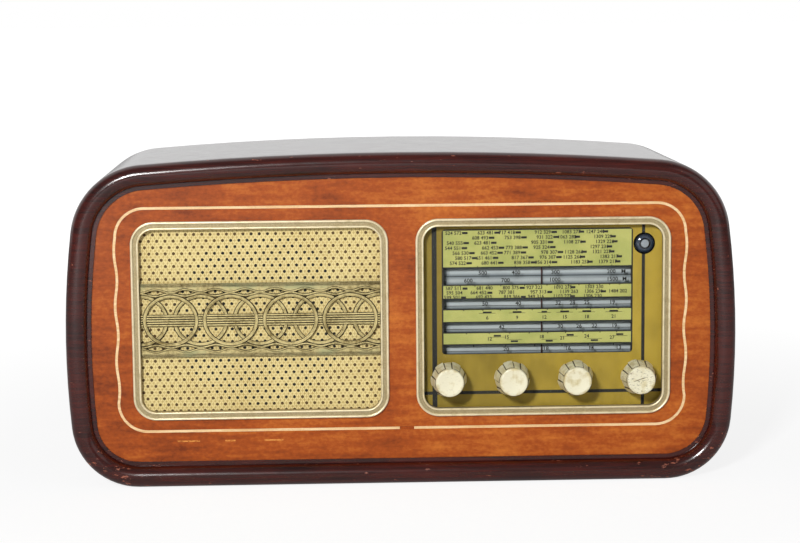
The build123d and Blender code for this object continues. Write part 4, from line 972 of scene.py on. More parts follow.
    def finish(
        self,
        body: str,
        finishes: Sequence[object],
        shading: Shading = Shading.CRISP,
        replaces: Sequence[str] = (),
        slot: Optional[str] = None,
    ) -> bpy.types.Object:
        """Turn the mesh into an object that rides on a body.

        Args:
            body: the CAD body that it moves with.
            finishes: one finish for each material index.
            shading: how its edges are shaded.
            replaces: the CAD nodes that it stands for.
            slot: the record's material slot; not used.

        Returns:
            The object.
        """
        bmesh.ops.remove_doubles(self.bm, verts=self.bm.verts, dist=0.001)
        bmesh.ops.recalc_face_normals(self.bm, faces=self.bm.faces)
        bmesh.ops.scale(self.bm, vec=(MM, MM, MM), verts=self.bm.verts)
        mesh = bpy.data.meshes.new(self.name)
        self.bm.to_mesh(mesh)
        self.bm.free()
        for polygon in mesh.polygons:
            polygon.use_smooth = True
        mesh.set_sharp_from_angle(angle=math.radians(shading.value))
        for finish in finishes:
            mesh.materials.append(finish.material())
        piece = bpy.data.objects.new(self.name, mesh)
        bpy.context.scene.collection.objects.link(piece)
        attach(piece, body)
        if replaces:
            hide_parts(*replaces)
        LOG.info("built %s with %d faces", self.name, len(mesh.polygons))
        return piece


def centre_of(node: str) -> Vector:
    """Middle of a CAD node's box, in millimetres."""
    low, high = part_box(node)
    return (low + high) / (2 * MM)


def front_of(node: str) -> float:
    """Depth of a CAD node's front, in millimetres."""
    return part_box(node)[0].y / MM


@dataclass
class Cabinet:
    """Shell, rim, panel, stringing and rear cover."""

    screw_head: float = 3.4
    screw_rise: float = 2.0
    screw_slot: float = 0.9
    slot_depth: float = 0.02
    crown_depth: float = 0.06
    screw_finish: Metal = Metal("screw_brass", srgb(196, 164, 96), srgb(130, 100, 50), 0.3, 0.9, 1.0)

    def dress(self) -> None:
        """Give the wooden pieces their finishes."""
        shell = DarkLacquer("shell_lacquer", srgb(32, 8, 7), srgb(70, 24, 18), wear=0.5)
        dress("cabinet_shell", shell, Shading.ROUND)
        dress("front_rim", DarkLacquer("rim_lacquer"), Shading.ROUND)
        dress("front_panel", FiguredVeneer())
        stringing = PlainWood("stringing", srgb(226, 180, 122), srgb(250, 218, 168), 0.35, 2.0)
        dress("inlay_string", stringing)
        dress("back_cover", Hardboard())
        dress("cord_grommet", Moulding("grommet_rubber", srgb(34, 32, 30), srgb(20, 19, 18), 0.7, 5.0))

    def screws(self) -> None:
        """Build the cover's round-headed slotted screws."""
        piece = Piece("back_screw_heads")
        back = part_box("back_screws")[1].y / MM
        seat = back - self.screw_rise
        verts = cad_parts["back_screws"].data.vertices
        crowns = [vert.co / MM for vert in verts if abs(vert.co.y / MM - back) < 0.01]
        groups: list[list[Vector]] = []
        for crown in crowns:
            reach = 3 * self.screw_head
            near = next((group for group in groups if (group[0] - crown).length < reach), None)
            if near is None:
                groups.append([crown])
            else:
                near.append(crown)
        for group in groups:
            middle = sum(group, Vector()) / len(group)
            profile = [
                (0.0, seat),
                (self.screw_head, seat),
                (self.screw_head * 0.97, seat + self.screw_rise * 0.35),
                (self.screw_head * 0.8, seat + self.screw_rise * 0.75),
                (self.screw_head * 0.45, back - self.crown_depth),
                (0.0, back),
            ]
            piece.turned(profile, (middle.x, 0, middle.z), steps=32)
            size = (2 * self.screw_head, self.slot_depth, self.screw_slot)
            slot = piece.block((middle.x, back, middle.z), size)
            bmesh.ops.rotate(
                piece.bm,
                verts=slot,
                cent=Vector((middle.x, back, middle.z)),
                matrix=Matrix.Rotation(middle.x * 0.01, 3, "Y"),
            )
            for vert in slot:
                vert.co.y = min(vert.co.y, back - self.slot_depth)
        piece.finish(CABINET, [self.screw_finish], Shading.CRISP, ("back_screws",), "screw_brass")

    def build(self) -> None:
        """Build and dress everything here."""
        self.dress()
        self.screws()


@dataclass
class WindowFrame:
    """Pressed gilt frame round a window: two round beads with a hammered groove between them."""

    node: str
    title: str
    width: float = 229.0
    height: float = 178.8
    corner: float = 20.5
    face: float = 7.2
    floor: float = 1.4
    outer_bead: float = 1.1
    outer_rise: float = 3.4
    inner_bead: float = 0.9
    inner_rise: float = 2.8
    skirt: float = 1.2
    seat: float = 0.05
    facets: int = 6

    def arch(self, middle: float, radius: float, rise: float, panel: float) -> list[tuple[float, float]]:
        """Points over a bead, from outside to inside.

        Args:
            middle: the bead's middle, counted outwards from the frame's edge.
            radius: its radius.
            rise: how far its crown stands in front of the panel.
            panel: depth of the panel's front.

        Returns:
            Points as distance outside the path and depth.
        """
        turns = [math.pi * step / self.facets for step in range(self.facets + 1)]
        crown = panel - rise + radius
        return [(middle + radius * math.cos(turn), crown - radius * math.sin(turn)) for turn in turns]

    def build(self) -> None:
        """Build the frame over its CAD node."""
        low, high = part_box(self.node)
        middle = centre_of(self.node)
        front, back = low.y / MM, high.y / MM
        panel = front + self.outer_rise
        piece = Piece(self.title)
        seat = panel - self.seat
        profile = [(0.0, seat)]
        profile += self.arch(-self.outer_bead, self.outer_bead, self.outer_rise, panel)
        profile += [(-2 * self.outer_bead, panel - self.floor)]
        profile += [(-self.face + 2 * self.inner_bead, panel - self.floor)]
        profile += self.arch(-self.face + self.inner_bead, self.inner_bead, self.inner_rise, panel)
        profile += [(-self.face, back), (-self.face + self.skirt, back)]
        profile += [(-self.face + self.skirt, seat), (0.0, seat)]
        piece.framed(profile, middle, (self.width, self.height), self.corner)
        gilt = GiltMetal(f"{self.title}_gilt")
        piece.finish(CABINET, [gilt], Shading.ROUND, (self.node,), "gilt_metal")


@dataclass
class Grille:
    """Mat, its frame and the ring fretwork in front of it."""

    ring_width: float = 50.3
    ring_tall: float = 47.2
    ring_wall: float = 3.8
    ring_pitch: float = 53.5
    rings: int = 4
    band_height: float = 66.6
    length: float = 213.8
    bar_height: float = 10.8
    bar_reeds: int = 5
    rail_reeds: int = 3
    rail_pitch: float = 1.1
    rail_middle: float = 26.8
    rail_rise: float = 1.5
    bead_width: float = 1.8
    strand_middle: float = 23.3
    strand_rise: float = 1.2
    strand_width: float = 2.2
    layer: float = 1.1
    stand_off: float = 1.6
    post_radius: float = 1.5
    post_height: float = 22.0
    wall_shade_limit: float = 0.72
    middle: Vector = field(default_factory=lambda: centre_of("grille_fretwork"))

    def level(self, _: float) -> float:
        """Middle line of a straight strip."""
        return 0.0

    def wave(self, rise: float) -> Callable[[float], float]:
        """A wave whose troughs stand over the rings' centres."""
        pitch = self.ring_pitch / 2
        return lambda x: -rise * math.cos(2 * math.pi * (x / pitch))

    def ring(self, piece: Piece, x: float, front: float, back: float) -> None:
        """Add one elliptical ring with a fine lip along its inner edge.

        Args:
            piece: the mesh.
            x: its centre, from the band's middle.
            front: depth of its face.
            back: depth of its rear.
        """
        outer = self.ring_width / 2
        inner = outer - self.ring_wall
        profile = [
            (inner, back),
            (inner, front + 0.8),
            (inner + 0.5, front + 0.15),
            (inner + 0.9, front + 0.05),
            (inner + 1.2, front + 0.3),
            (inner + 1.5, front + 0.05),
            (outer - 1.0, front),
            (outer - 0.6, front + 0.2),
            (outer, front + 1.0),
            (outer, back),
            (inner, back),
        ]
        centre = Vector((self.middle.x + x, 0, self.middle.z))
        verts = piece.turned(profile, centre, steps=80)
        bmesh.ops.scale(
            piece.bm,
            vec=(1, 1, self.ring_tall / self.ring_width),
            space=Matrix.Translation(-centre),
            verts=verts,
        )

    def fretwork(self) -> None:
        """Build the fretwork band: back rings, strands, bar, front rings and waved rails."""
        piece = Piece("ring_fretwork")
        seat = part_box("grille_fretwork")[1].y / MM
        rear = seat - self.stand_off
        middle_face = rear - self.layer
        front = middle_face - self.layer
        for index in range(self.rings + 1):
            self.ring(piece, (index - self.rings / 2) * self.ring_pitch, middle_face, rear)
        half = self.length / 2
        for side in (-1, 1):
            bmesh.ops.bisect_plane(
                piece.bm,
                geom=[*piece.bm.faces, *piece.bm.edges, *piece.bm.verts],
                plane_co=(self.middle.x + side * half, 0, 0),
                plane_no=(side, 0, 0),
                clear_outer=True,
            )
        bmesh.ops.holes_fill(piece.bm, edges=[edge for edge in piece.bm.edges if edge.is_boundary])
        for index in range(self.rings):
            self.ring(piece, (index - (self.rings - 1) / 2) * self.ring_pitch, front - 0.3, middle_face)
        x, z = self.middle.x, self.middle.z
        reed = self.bar_height / self.bar_reeds
        for index in range(self.bar_reeds):
            place = z + (index - (self.bar_reeds - 1) / 2) * reed
            spot = (x, middle_face - 0.05, place)
            piece.strip(self.length, reed * 0.94, 1.5, spot, self.level, 0.75, 2, 6)
        for side in (-1, 1):
            for index in range(self.rail_reeds):
                place = z + side * (self.band_height / 2 - (index + 0.5) * self.rail_pitch)
                spot = (x, middle_face - 0.2, place)
                piece.strip(self.length, self.rail_pitch * 0.94, 1.6, spot, self.level, 0.45, 2, 4)
            inner = self.band_height / 2 - self.rail_reeds * self.rail_pitch
            wave = self.wave(side * self.rail_rise)
            plate = inner - self.rail_middle
            self.plate(piece, side, plate, wave, middle_face - 0.35, rear)
            spot = (x, front, z + side * self.rail_middle)
            piece.strip(self.length, self.bead_width, 1.8, spot, wave, 0.8)
            strand = self.wave(-side * self.strand_rise)
            spot = (x, middle_face - 0.2, z + side * self.strand_middle)
            piece.strip(self.length, self.strand_width, 1.6, spot, strand, 0.9)
        post = self.ring_pitch / 2
        for index in range(1, 2 * self.rings - 1):
            for side in (-1, 1):
                place = (x + (index - (2 * self.rings - 1) / 2) * post, 0, z + side * self.post_height)
                radius = self.post_radius
                piece.turned([(0, rear), (radius, rear), (radius, seat), (0, seat)], place, steps=16)
        bmesh.ops.recalc_face_normals(piece.bm, faces=piece.bm.faces)
        # painted shade: faces turned sideways, the walls of every ring and strip, take the dark second
        # material, partly patina and partly painted shade
        for face in piece.bm.faces:
            if abs(face.normal.y) < self.wall_shade_limit:
                face.material_index = 1
        wall_patina_and_shade = Metal("bronze_wall_patina_and_shade", srgb(52, 42, 20), srgb(26, 20, 10), 0.6, 0.2)
        finishes = [TarnishedBronze(), wall_patina_and_shade]
        piece.finish(CABINET, finishes, Shading.CRISP, ("grille_fretwork",), "fretwork_metal")

    def plate(
        self,
        piece: Piece,
        side: int,
        width: float,
        wave: Callable[[float], float],
        front: float,
        rear: float,
    ) -> None:
        """Add a rail's plate, straight outside and waved inside.

        Args:
            piece: the mesh.
            side: 1 for the upper rail and -1 for the lower.
            width: mean height of the plate.
            wave: rise of its inner edge.
            front: depth of its face.
            rear: depth of its back.
        """
        lay = Matrix.Rotation(math.pi / 2, 4, "X")
        made = bmesh.ops.create_grid(piece.bm, x_segments=160, y_segments=1, size=0.5, matrix=lay)
        base = self.middle.z + side * self.rail_middle
        for vert in made["verts"]:
            x = vert.co.x * self.length
            z = base + wave(x) if vert.co.z < 0 else base + side * width
            vert.co = Vector((self.middle.x + x, front, z))
        faces = list({face for vert in made["verts"] for face in vert.link_faces})
        back = bmesh.ops.extrude_face_region(piece.bm, geom=faces)["geom"]
        piece.move(only(bmesh.types.BMVert, back), (0, rear - front, 0))

    def build(self) -> None:
        """Build and dress everything here."""
        WindowFrame("grille_bezel", "grille_window_frame").build()
        dress("grille_sheet", StrawMat())
        self.fretwork()


@dataclass
class Knob:
    """One control knob: tapered body, raised ribs with dark-painted flanks, ringed flat face."""

    node: str
    body: str
    wear: float
    turn: float
    ribs: int = 6
    base_radius: float = 15.5
    face_radius: float = 12.4
    rib_rise: float = 0.9
    segments: int = 96
    rib_share: float = 0.5

    def build(self) -> None:
        """Build the knob over its CAD node."""
        low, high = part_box(self.node)
        middle = centre_of(self.node)
        back, front = high.y / MM, low.y / MM
        piece = Piece(f"{self.node}_body")
        length = back - front
        profile = [
            (0.0, front + 0.35),
            (self.face_radius - 3.2, front + 0.25),
            (self.face_radius - 2.6, front + 0.02),
            (self.face_radius - 1.0, front + 0.02),
            (self.face_radius - 0.25, front + 0.35),
            (self.face_radius, front + 1.1),
        ]
        start = 0.12
        reach = self.base_radius - self.face_radius
        profile.append((self.face_radius + reach * start, front + length * start))
        profile.append((self.base_radius - 0.2, back - 0.8))
        profile.append((self.base_radius - 0.5, back))
        profile.append((0.0, back))
        piece.turned(profile, (middle.x, 0, middle.z), steps=self.segments)
        side_faces = []
        for face in piece.bm.faces:
            spot = face.calc_center_median()
            angle = math.atan2(spot.z - middle.z, spot.x - middle.x) + self.turn
            share = (angle / (2 * math.pi) * self.ribs) % 1.0
            on_side = front + length * start < spot.y < back - 0.8
            if on_side and share < self.rib_share:
                side_faces.append(face)
        before = set(piece.bm.faces)
        result = bmesh.ops.extrude_face_region(piece.bm, geom=side_faces)["geom"]
        bmesh.ops.delete(piece.bm, geom=side_faces, context="FACES")
        for vert in only(bmesh.types.BMVert, result):
            away = Vector((vert.co.x - middle.x, 0, vert.co.z - middle.z)).normalized()
            share = (vert.co.y - front - length * start) / (length * (1 - start))
            vert.co += away * self.rib_rise * (0.4 + 0.6 * share)
        raised = set(only(bmesh.types.BMFace, result))
        flanks = [face for face in piece.bm.faces if face not in before and face not in raised]
        foot = front + length * start
        # the rib flanks and the low faces beside them take the dark second material: thin dark lines along
        # every rib
        grooves = {near for face in flanks for edge in face.edges for near in edge.link_faces}
        for face in grooves - raised:
            if face in flanks or face.calc_center_median().y > foot:
                face.material_index = 1
        spot = (middle.x, middle.z)
        finishes = [
            WornIvory(f"{self.node}_ivory", spot, self.wear),
            Moulding(f"{self.node}_grime", srgb(84, 70, 42), srgb(48, 40, 24), 0.7, 3.0),
        ]
        piece.finish(self.body, finishes, Shading.CRISP, (self.node,), "ivory_plastic")


@dataclass
class Dial:
    """Glass, printed plate, figures, reflector, lamps, pointer and tuning eye."""

    figure_height: float = 3.2
    slot_figure_height: float = 3.7
    ink: tuple = srgb(24, 24, 18)
    ink_depth: float = 0.06
    station_top: float = 223.4
    station_pitch: float = 4.55
    station_rows: int = 7
    columns: int = 7
    block: tuple = (5.0, 2.0)
    block_shift: float = 17.6
    glass_clearance: float = 0.05

    def frequency(self, x: float, row: int) -> str:
        """Plain figure for a place on the scale."""
        card = ScaleCard()
        share = (x - card.left) / (card.right - card.left)
        kilohertz = round(520 + 1080 * share**1.4 + 7 * row)
        return f"{kilohertz} {round(299800 / kilohertz)}"

    def write(
        self, piece: Piece, text: str, x: float, z: float, height: float, middle: bool = False
    ) -> None:
        """Add figures to the print.

        Args:
            piece: the mesh.
            text: the figures.
            x: left end, or the middle.
            z: foot of the figures.
            height: height of the figures.
            middle: True if x is the middle.
        """
        curve = bpy.data.curves.new("figures", "FONT")
        curve.body = text
        curve.size = height * 1.4
        curve.offset = 0.03 * height
        curve.resolution_u = 2
        curve.align_x = "CENTER" if middle else "LEFT"
        writer = bpy.data.objects.new("figures", curve)
        bpy.context.scene.collection.objects.link(writer)
        bpy.context.view_layer.update()
        mesh = writer.to_mesh()
        mesh.transform(Matrix.Translation((x, self.depth, z)) @ Matrix.Rotation(math.pi / 2, 4, "X"))
        piece.bm.from_mesh(mesh)
        writer.to_mesh_clear()
        bpy.data.objects.remove(writer)
        bpy.data.curves.remove(curve)

    def mark(self, piece: Piece, x: float, z: float, width: float, height: float) -> None:
        """Add a solid rectangle of ink by its centre and size."""
        piece.block((x, self.depth, z), (width, self.ink_depth, height))

    def stations(self, piece: Piece) -> None:
        """Fill the top panel and the second one with rows of figures, each with its block."""
        card = ScaleCard()
        for row in range(self.station_rows):
            z = self.station_top - row * self.station_pitch
            for column in range(self.columns):
                swing = math.sin(1.7 * row + 2.3 * column)
                x = card.left + 3 + 26.0 * column + 4 * swing + 1.1 * row
                if swing > 0.93 or x > card.right - 21:
                    continue
                self.write(piece, self.frequency(x, row), x, z, self.figure_height)
                self.mark(piece, x + self.block_shift, z + self.figure_height * 0.45, *self.block)
        for row in range(3):
            z = 174.4 - row * 4.1
            for column in range(8):
                swing = math.sin(2.9 * row + 1.3 * column)
                x = card.left + 3 + 25.0 * column + 3 * swing
                if x > card.right - 20:
                    continue
                self.write(piece, self.frequency(x, row + 9), x, z - 1.0, self.figure_height)
                if column % 2 == row % 2:
                    self.mark(piece, x + self.block_shift, z + 0.2, self.block[0] * 0.9, self.block[1])

    def wavebands(self, piece: Piece) -> None:
        """Draw the short-wave panels: black bars with thin rules and figures."""
        for index, x in enumerate((77.0, 104.0, 128.5, 147.0, 167.0, 191.5)):
            wide = 8.0 if index != 2 else 5.0
            self.mark(piece, x, 152.6, wide, 1.7)
            self.mark(piece, x, 151.9, wide + 7.0, 0.35)
            self.write(piece, str(6 + 3 * index), x, 146.2, self.figure_height, True)
        places = ((86.0, 1), (101.5, 0), (133.0, 0), (152.0, 1), (174.0, 0), (197.0, 1))
        for index, (x, up) in enumerate(places):
            z = 131.2 if up else 126.0
            self.mark(piece, x, z, 6.5, 1.6)
            self.mark(piece, x, 129.9 if up else 127.4, 14.0, 0.3)
            foot = 127.0 if up else 128.4
            self.write(piece, str(12 + 3 * index), x - 7.0, foot, self.figure_height, True)

    def slots(self, piece: Piece) -> None:
        """Draw the figures, thin lines and ticks of the slots."""
        card = ScaleCard()
        rows = (
            (186.9, ((73.0, "500"), (103.0, "400"), (138.5, "300"), (189.0, "200"), (200.0, "M"))),
            (180.0, ((60.0, "600"), (93.5, "700"), (138.0, "1000"), (190.0, "1500"), (201.0, "M"))),
            (
                159.0,
                ((75.0, "50"), (105.0, "40"), (141.0, "32"), (154.0, "28"), (167.0, "25"), (190.0, "19")),
            ),
            (137.6, ((90.0, "42"), (143.0, "30"), (160.0, "26"), (174.0, "22"), (192.0, "19"))),
            (117.4, ((94.0, "20"), (130.0, "18"), (150.0, "16"), (171.0, "14"), (196.0, "13"))),
        )
        for z, figures in rows:
            for x, text in figures:
                self.write(piece, text, x, z, self.slot_figure_height, True)
        wide = card.right - card.left - 2
        middle = (card.left + card.right) / 2
        for z in (185.6, 160.4, 139.1, 119.0):
            self.mark(piece, middle, z - (0.0 if z > 180 else 1.6), wide, 0.45)
        for edge, count in ((193.0, 5), (178.1, 15), (156.0, 11), (134.8, 9), (123.0, 6)):
            for index in range(count):
                share = (index + 0.6) / count
                x = card.left + 6 + (wide - 12) * share**0.85
                self.mark(piece, x, edge - 0.9 if edge != 193.0 else edge + 0.9, 0.8, 1.9)

    def figures(self) -> None:
        """Build all the print that stands in front of the plate."""
        piece = Piece("dial_figures")
        self.stations(piece)
        self.wavebands(piece)
        self.slots(piece)
        ink = Moulding("dial_ink", self.ink, srgb(36, 36, 26), 0.6, 6.0)
        piece.finish(CABINET, [ink], slot="pointer_paint")

    def clear_of_plate(self, glass: bpy.types.Object) -> None:
        """Draw the glass's faces in a little, because its back and the plate's front share a plane."""
        shrink = glass.modifiers.new("clearance", "DISPLACE")
        shrink.mid_level = 0.0
        shrink.strength = -self.glass_clearance * MM
        glass.modifiers.move(len(glass.modifiers) - 1, 1)

    @property
    def depth(self) -> float:
        """Depth at which the figures are printed on the glass."""
        return front_of("dial_mask") - self.ink_depth

    def build(self) -> None:
        """Build and dress everything here."""
        WindowFrame("dial_bezel", "dial_window_frame").build()
        self.clear_of_plate(dress("dial_glass", Pane("dial_glass")))
        dress("dial_mask", ScaleCard())
        dress("dial_reflector", SlotBacking())
        dress("dial_pointer", Moulding("pointer_paint", srgb(72, 16, 12), srgb(40, 8, 6), 0.35, 4.0))
        dress("dial_lamps", Pane("lamp_glass", srgb(240, 236, 220), 0.35, 0.1), Shading.ROUND)
        dress("eye_tube", EyeGlass(), Shading.ROUND)
        steel = Metal("dial_steel", srgb(176, 176, 170), srgb(130, 128, 120))
        for node in ("lamp_holders", "pointer_rail", "eye_clamp"):
            dress(node, steel)
        self.figures()


@dataclass
class Valve:
    """A receiving valve: bakelite base, glass bulb and electrodes."""

    node: str
    base_radius: float = 15.5
    base_height: float = 24.0
    bulb_radius: float = 18.5
    anode_radius: float = 9.0
    stem_radius: float = 3.2

    def build(self) -> None:
        """Build the valve over its CAD node."""
        low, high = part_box(self.node)
        middle = centre_of(self.node)
        foot, crown = low.z / MM, high.z / MM
        centre = (middle.x, middle.y, 0)
        rise = foot + self.base_height
        base = Piece(f"{self.node}_base")
        profile = [
            (0, foot),
            (self.base_radius - 1, foot),
            (self.base_radius, foot + 1),
            (self.base_radius, rise - 3),
            (self.base_radius - 0.8, rise - 2.4),
            (self.base_radius - 0.8, rise - 1),
            (self.base_radius - 1.6, rise),
            (0, rise),
        ]
        base.turned(profile, centre, (0, 0, 1), 48)
        shades = (srgb(40, 26, 18), srgb(24, 15, 10))
        bakelite = Moulding(f"{self.node}_bakelite", *shades, 0.28, 8.0, 0.02, 0.3)
        base.finish(CABINET, [bakelite], Shading.CRISP, (self.node,), "bakelite")
        bulb = Piece(f"{self.node}_bulb")
        radius = self.bulb_radius
        arc = [math.pi / 2 * step / 8 for step in range(9)]
        glass = [
            (self.base_radius - 2, rise - 0.5),
            (self.base_radius - 1, rise + 4),
            (radius, rise + radius),
        ]
        glass += [(radius * math.cos(a), crown - radius + radius * math.sin(a)) for a in arc]
        glass[-1] = (0.0, crown)
        bulb.turned(glass, centre, (0, 0, 1), 48)
        clear = Pane(f"{self.node}_glass", srgb(200, 208, 204), 0.28, 0.2)
        bulb.finish(CABINET, [clear], Shading.ROUND, (), "valve_glass")
        inside = Piece(f"{self.node}_anode")
        top = crown - radius * 0.9
        start = rise + 6
        anode = [(0, start), (self.anode_radius, start), (self.anode_radius, top), (0, top)]
        inside.turned(anode, centre, (0, 0, 1), 24)
        for side in (-1, 1):
            fin = (middle.x + side * (self.anode_radius + 2.2), middle.y, (start + top) / 2)
            inside.block(fin, (5, 0.8, top - rise - 10))
        stem = [(0, rise), (self.stem_radius, rise), (self.stem_radius, start + 0.2), (0, start + 0.2)]
        inside.turned(stem, centre, (0, 0, 1), 16)
        nickel = Metal(f"{self.node}_nickel", srgb(120, 120, 116), srgb(70, 70, 68), 0.5)
        inside.finish(CABINET, [nickel], Shading.CRISP, (), "plated_steel")


@dataclass
class Works:
    """Chassis, loudspeaker, drive, capacitor and the parts on the chassis."""

    valves: tuple = (
        "converter_valve",
        "amplifier_valve",
        "detector_valve",
        "output_valve",
        "rectifier_valve",
    )

    def build(self) -> None:
        """Build and dress everything here."""
        zinc = Metal("zinc_plate", srgb(184, 180, 164), srgb(140, 134, 116), 0.42)
        steel = Metal("turned_steel", srgb(188, 188, 186), srgb(140, 140, 138), 0.28, 1.0, 1.0)
        aluminium = Metal("bare_aluminium", srgb(210, 210, 208), srgb(170, 170, 168), 0.4)
        bakelite = Moulding("brown_bakelite", srgb(48, 30, 20), srgb(26, 16, 10), 0.26, 9.0, 0.02, 0.3)
        red = Moulding("red_bakelite", srgb(168, 62, 38), srgb(120, 40, 24), 0.26, 9.0, 0.02, 0.3)
        fibre = Moulding("drum_fibre", srgb(160, 110, 66), srgb(120, 78, 44), 0.5, 4.0)
        ply = PlainWood("plywood", srgb(150, 112, 70), srgb(196, 156, 108), 0.7, 3.0)
        finishes: dict[str, object] = {
            "speaker_board": ply,
            "chassis_battens": ply,
            "speaker_basket": Metal("basket_paint", srgb(92, 96, 94), srgb(66, 70, 68), 0.45, 0.3),
            "speaker_cone": SpeakerPaper(),
            "speaker_magnet": Metal("magnet_paint", srgb(62, 62, 64), srgb(40, 40, 42), 0.4, 0.4),
            "output_transformer": Laminations("output_laminations"),
            "mains_transformer": Laminations(),
            "chassis": zinc,
            "capacitor_frame": zinc,
            "potentiometers": zinc,
            "speaker_bolts": steel,
            "chassis_bolts": steel,
            "volume_spindle": steel,
            "tone_spindle": steel,
            "band_spindle": steel,
            "tuning_spindle": steel,
            "capacitor_rotor": aluminium,
            "capacitor_stator": aluminium,
            "if_cans": aluminium,
            "filter_can": aluminium,
            "left_pulley": fibre,
            "right_pulley": fibre,
            "tuning_drum": fibre,
            "pointer_cord": TwistedCord("pointer_cord"),
            "drive_cord": TwistedCord("drive_cord"),
            "band_switch": bakelite,
            "valve_sockets": bakelite,
            "socket_strip": bakelite,
            "voltage_selector": red,
        }
        for node, finish in finishes.items():
            dress(node, finish)
        for node in self.valves:
            Valve(node).build()


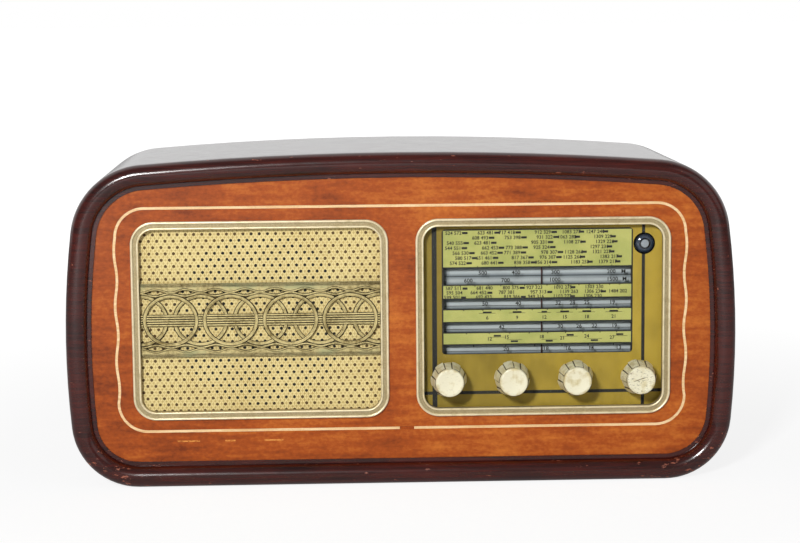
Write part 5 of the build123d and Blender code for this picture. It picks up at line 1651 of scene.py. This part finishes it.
@dataclass
class Studio:
    """Camera at the photograph's angle, soft lamps, pale floor and world."""

    eye: tuple = (-68.1, -1953.5, 434.8)
    yaw: float = 0.0358
    pitch: float = 0.1301
    roll: float = -0.008
    lens: float = 94.33
    floor_size: float = 30.0
    key_place: tuple = (-0.85, -2.9, 1.3)
    key_size: float = 0.35
    key_power: float = 73.0
    fill_place: tuple = (1.8, -1.6, 1.2)
    fill_size: float = 1.6
    fill_power: float = 4.0
    paper: tuple = (0.9, 0.9, 0.9, 1.0)
    white: tuple = (1.0, 1.0, 1.0, 1.0)
    glow: float = 1.12
    shadow_share: float = 0.24
    shadow_edge: float = 1.5
    shadow_soft: float = 1.1
    ambient: float = 0.2
    dim_gloss: float = 0.22
    pale_gloss: float = 1.0

    def camera(self) -> None:
        """Place the camera."""
        ahead = Vector(
            (
                math.sin(self.yaw) * math.cos(self.pitch),
                math.cos(self.yaw) * math.cos(self.pitch),
                -math.sin(self.pitch),
            )
        )
        level = Vector((math.cos(self.yaw), -math.sin(self.yaw), 0))
        above = level.cross(ahead)
        right = level * math.cos(self.roll) + above * math.sin(self.roll)
        up = right.cross(ahead)
        turn = Matrix((right, up, -ahead)).transposed()
        data = bpy.data.cameras.new("camera")
        data.lens = self.lens
        data.sensor_width = 36.0
        data.clip_end = 100.0
        camera = bpy.data.objects.new("camera", data)
        camera.matrix_world = Matrix.Translation(Vector(self.eye) * MM) @ turn.to_4x4()
        bpy.context.scene.collection.objects.link(camera)
        bpy.context.scene.camera = camera

    def lamp(self, name: str, place: Sequence[float], size: float, power: float) -> None:
        """Add an area lamp that points at the radio.

        Args:
            name: the lamp's name.
            place: where it hangs, in metres.
            size: width of its square, in metres.
            power: its power in watts.
        """
        data = bpy.data.lights.new(name, "AREA")
        data.size = size
        data.energy = power
        lamp = bpy.data.objects.new(name, data)
        aim = (Vector((0, 0, 0.15)) - Vector(place)).to_track_quat("-Z", "Y")
        lamp.matrix_world = Matrix.Translation(place) @ aim.to_matrix().to_4x4()
        bpy.context.scene.collection.objects.link(lamp)

    def seen(self, shader: Shader) -> Value:
        """1 for what the camera sees, straight or through a glass, and 0 for light on the object."""
        path = shader.node("ShaderNodeLightPath")
        camera = Value(shader, path.outputs["Is Camera Ray"])
        glass = Value(shader, path.outputs["Is Transmission Ray"])
        return camera.most(glass)

    def floor(self) -> None:
        """Lay the pale floor."""
        shader = Shader("pale_floor")
        paper = shader.node("ShaderNodeBsdfDiffuse", None, {"Color": self.paper})
        glow = shader.node("ShaderNodeEmission", None, {"Color": self.white, "Strength": self.glow})
        away = (shader.x * shader.x + shader.y * shader.y).math("SQRT")
        near = away.below(self.shadow_edge, self.shadow_soft)
        factor = self.seen(shader) * (1 - near * self.shadow_share)
        inputs = {0: factor, 1: paper.outputs[0], 2: glow.outputs[0]}
        both = shader.node("ShaderNodeMixShader", None, inputs)
        shader.node("ShaderNodeOutputMaterial", None, {"Surface": both.outputs[0]})
        bm = bmesh.new()
        bmesh.ops.create_grid(bm, x_segments=1, y_segments=1, size=self.floor_size)
        mesh = bpy.data.meshes.new("pale_floor")
        bm.to_mesh(mesh)
        bm.free()
        mesh.materials.append(shader.material)
        floor = bpy.data.objects.new("pale_floor", mesh)
        bpy.context.scene.collection.objects.link(floor)

    def world(self) -> None:
        """Light the room softly.

        The camera sees white. A gloss sees a pale room behind the radio and a dim one in front of it.
        """
        world = bpy.data.worlds.new("studio")
        world.use_nodes = True
        tree = world.node_tree
        tree.nodes.clear()
        path = tree.nodes.new("ShaderNodeLightPath")
        place = tree.nodes.new("ShaderNodeTexCoord")
        parts = tree.nodes.new("ShaderNodeSeparateXYZ")
        tree.links.new(place.outputs["Generated"], parts.inputs[0])
        behind = self.level(tree, parts.outputs["Y"], self.dim_gloss, self.pale_gloss)
        behind.inputs["From Min"].default_value = -0.1
        behind.inputs["From Max"].default_value = 0.3
        gloss = self.level(tree, path.outputs["Is Glossy Ray"], self.ambient, 0.0)
        tree.links.new(behind.outputs[0], gloss.inputs["To Max"])
        seen = self.level(tree, path.outputs["Is Camera Ray"], 0.0, 1.0)
        tree.links.new(gloss.outputs[0], seen.inputs["To Min"])
        sky = tree.nodes.new("ShaderNodeBackground")
        sky.inputs["Color"].default_value = self.white
        tree.links.new(seen.outputs[0], sky.inputs["Strength"])
        output = tree.nodes.new("ShaderNodeOutputWorld")
        tree.links.new(sky.outputs[0], output.inputs["Surface"])
        bpy.context.scene.world = world

    def level(
        self, tree: bpy.types.NodeTree, factor: bpy.types.NodeSocket, low: float, high: float
    ) -> bpy.types.Node:
        """Add a node that goes from one strength to another.

        Args:
            tree: the world's nodes.
            factor: 0 gives the first strength and 1 the second.
            low: the first strength.
            high: the second strength.

        Returns:
            The node.
        """
        node = tree.nodes.new("ShaderNodeMapRange")
        tree.links.new(factor, node.inputs["Value"])
        node.inputs["To Min"].default_value = low
        node.inputs["To Max"].default_value = high
        return node

    def build(self) -> None:
        """Build the whole studio."""
        self.camera()
        self.lamp("key", self.key_place, self.key_size, self.key_power)
        self.lamp("fill", self.fill_place, self.fill_size, self.fill_power)
        self.floor()
        self.world()
        bpy.context.scene.view_settings.view_transform = "Standard"


def main() -> None:
    """Build the radio's sub-assemblies in order, then the studio."""
    logging.basicConfig(level=logging.INFO, format="%(message)s")
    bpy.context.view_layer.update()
    Cabinet().build()
    Grille().build()
    Dial().build()
    Knob("volume_knob", "volume_control", 0.25, 0.2).build()
    Knob("tone_knob", "tone_control", 0.2, 0.5).build()
    Knob("band_knob", "band_control", 0.2, 0.9).build()
    Knob("tuning_knob", "tuning_control", 0.9, 0.4).build()
    Works().build()
    Studio().build()


if __name__ == "__main__":
    main()
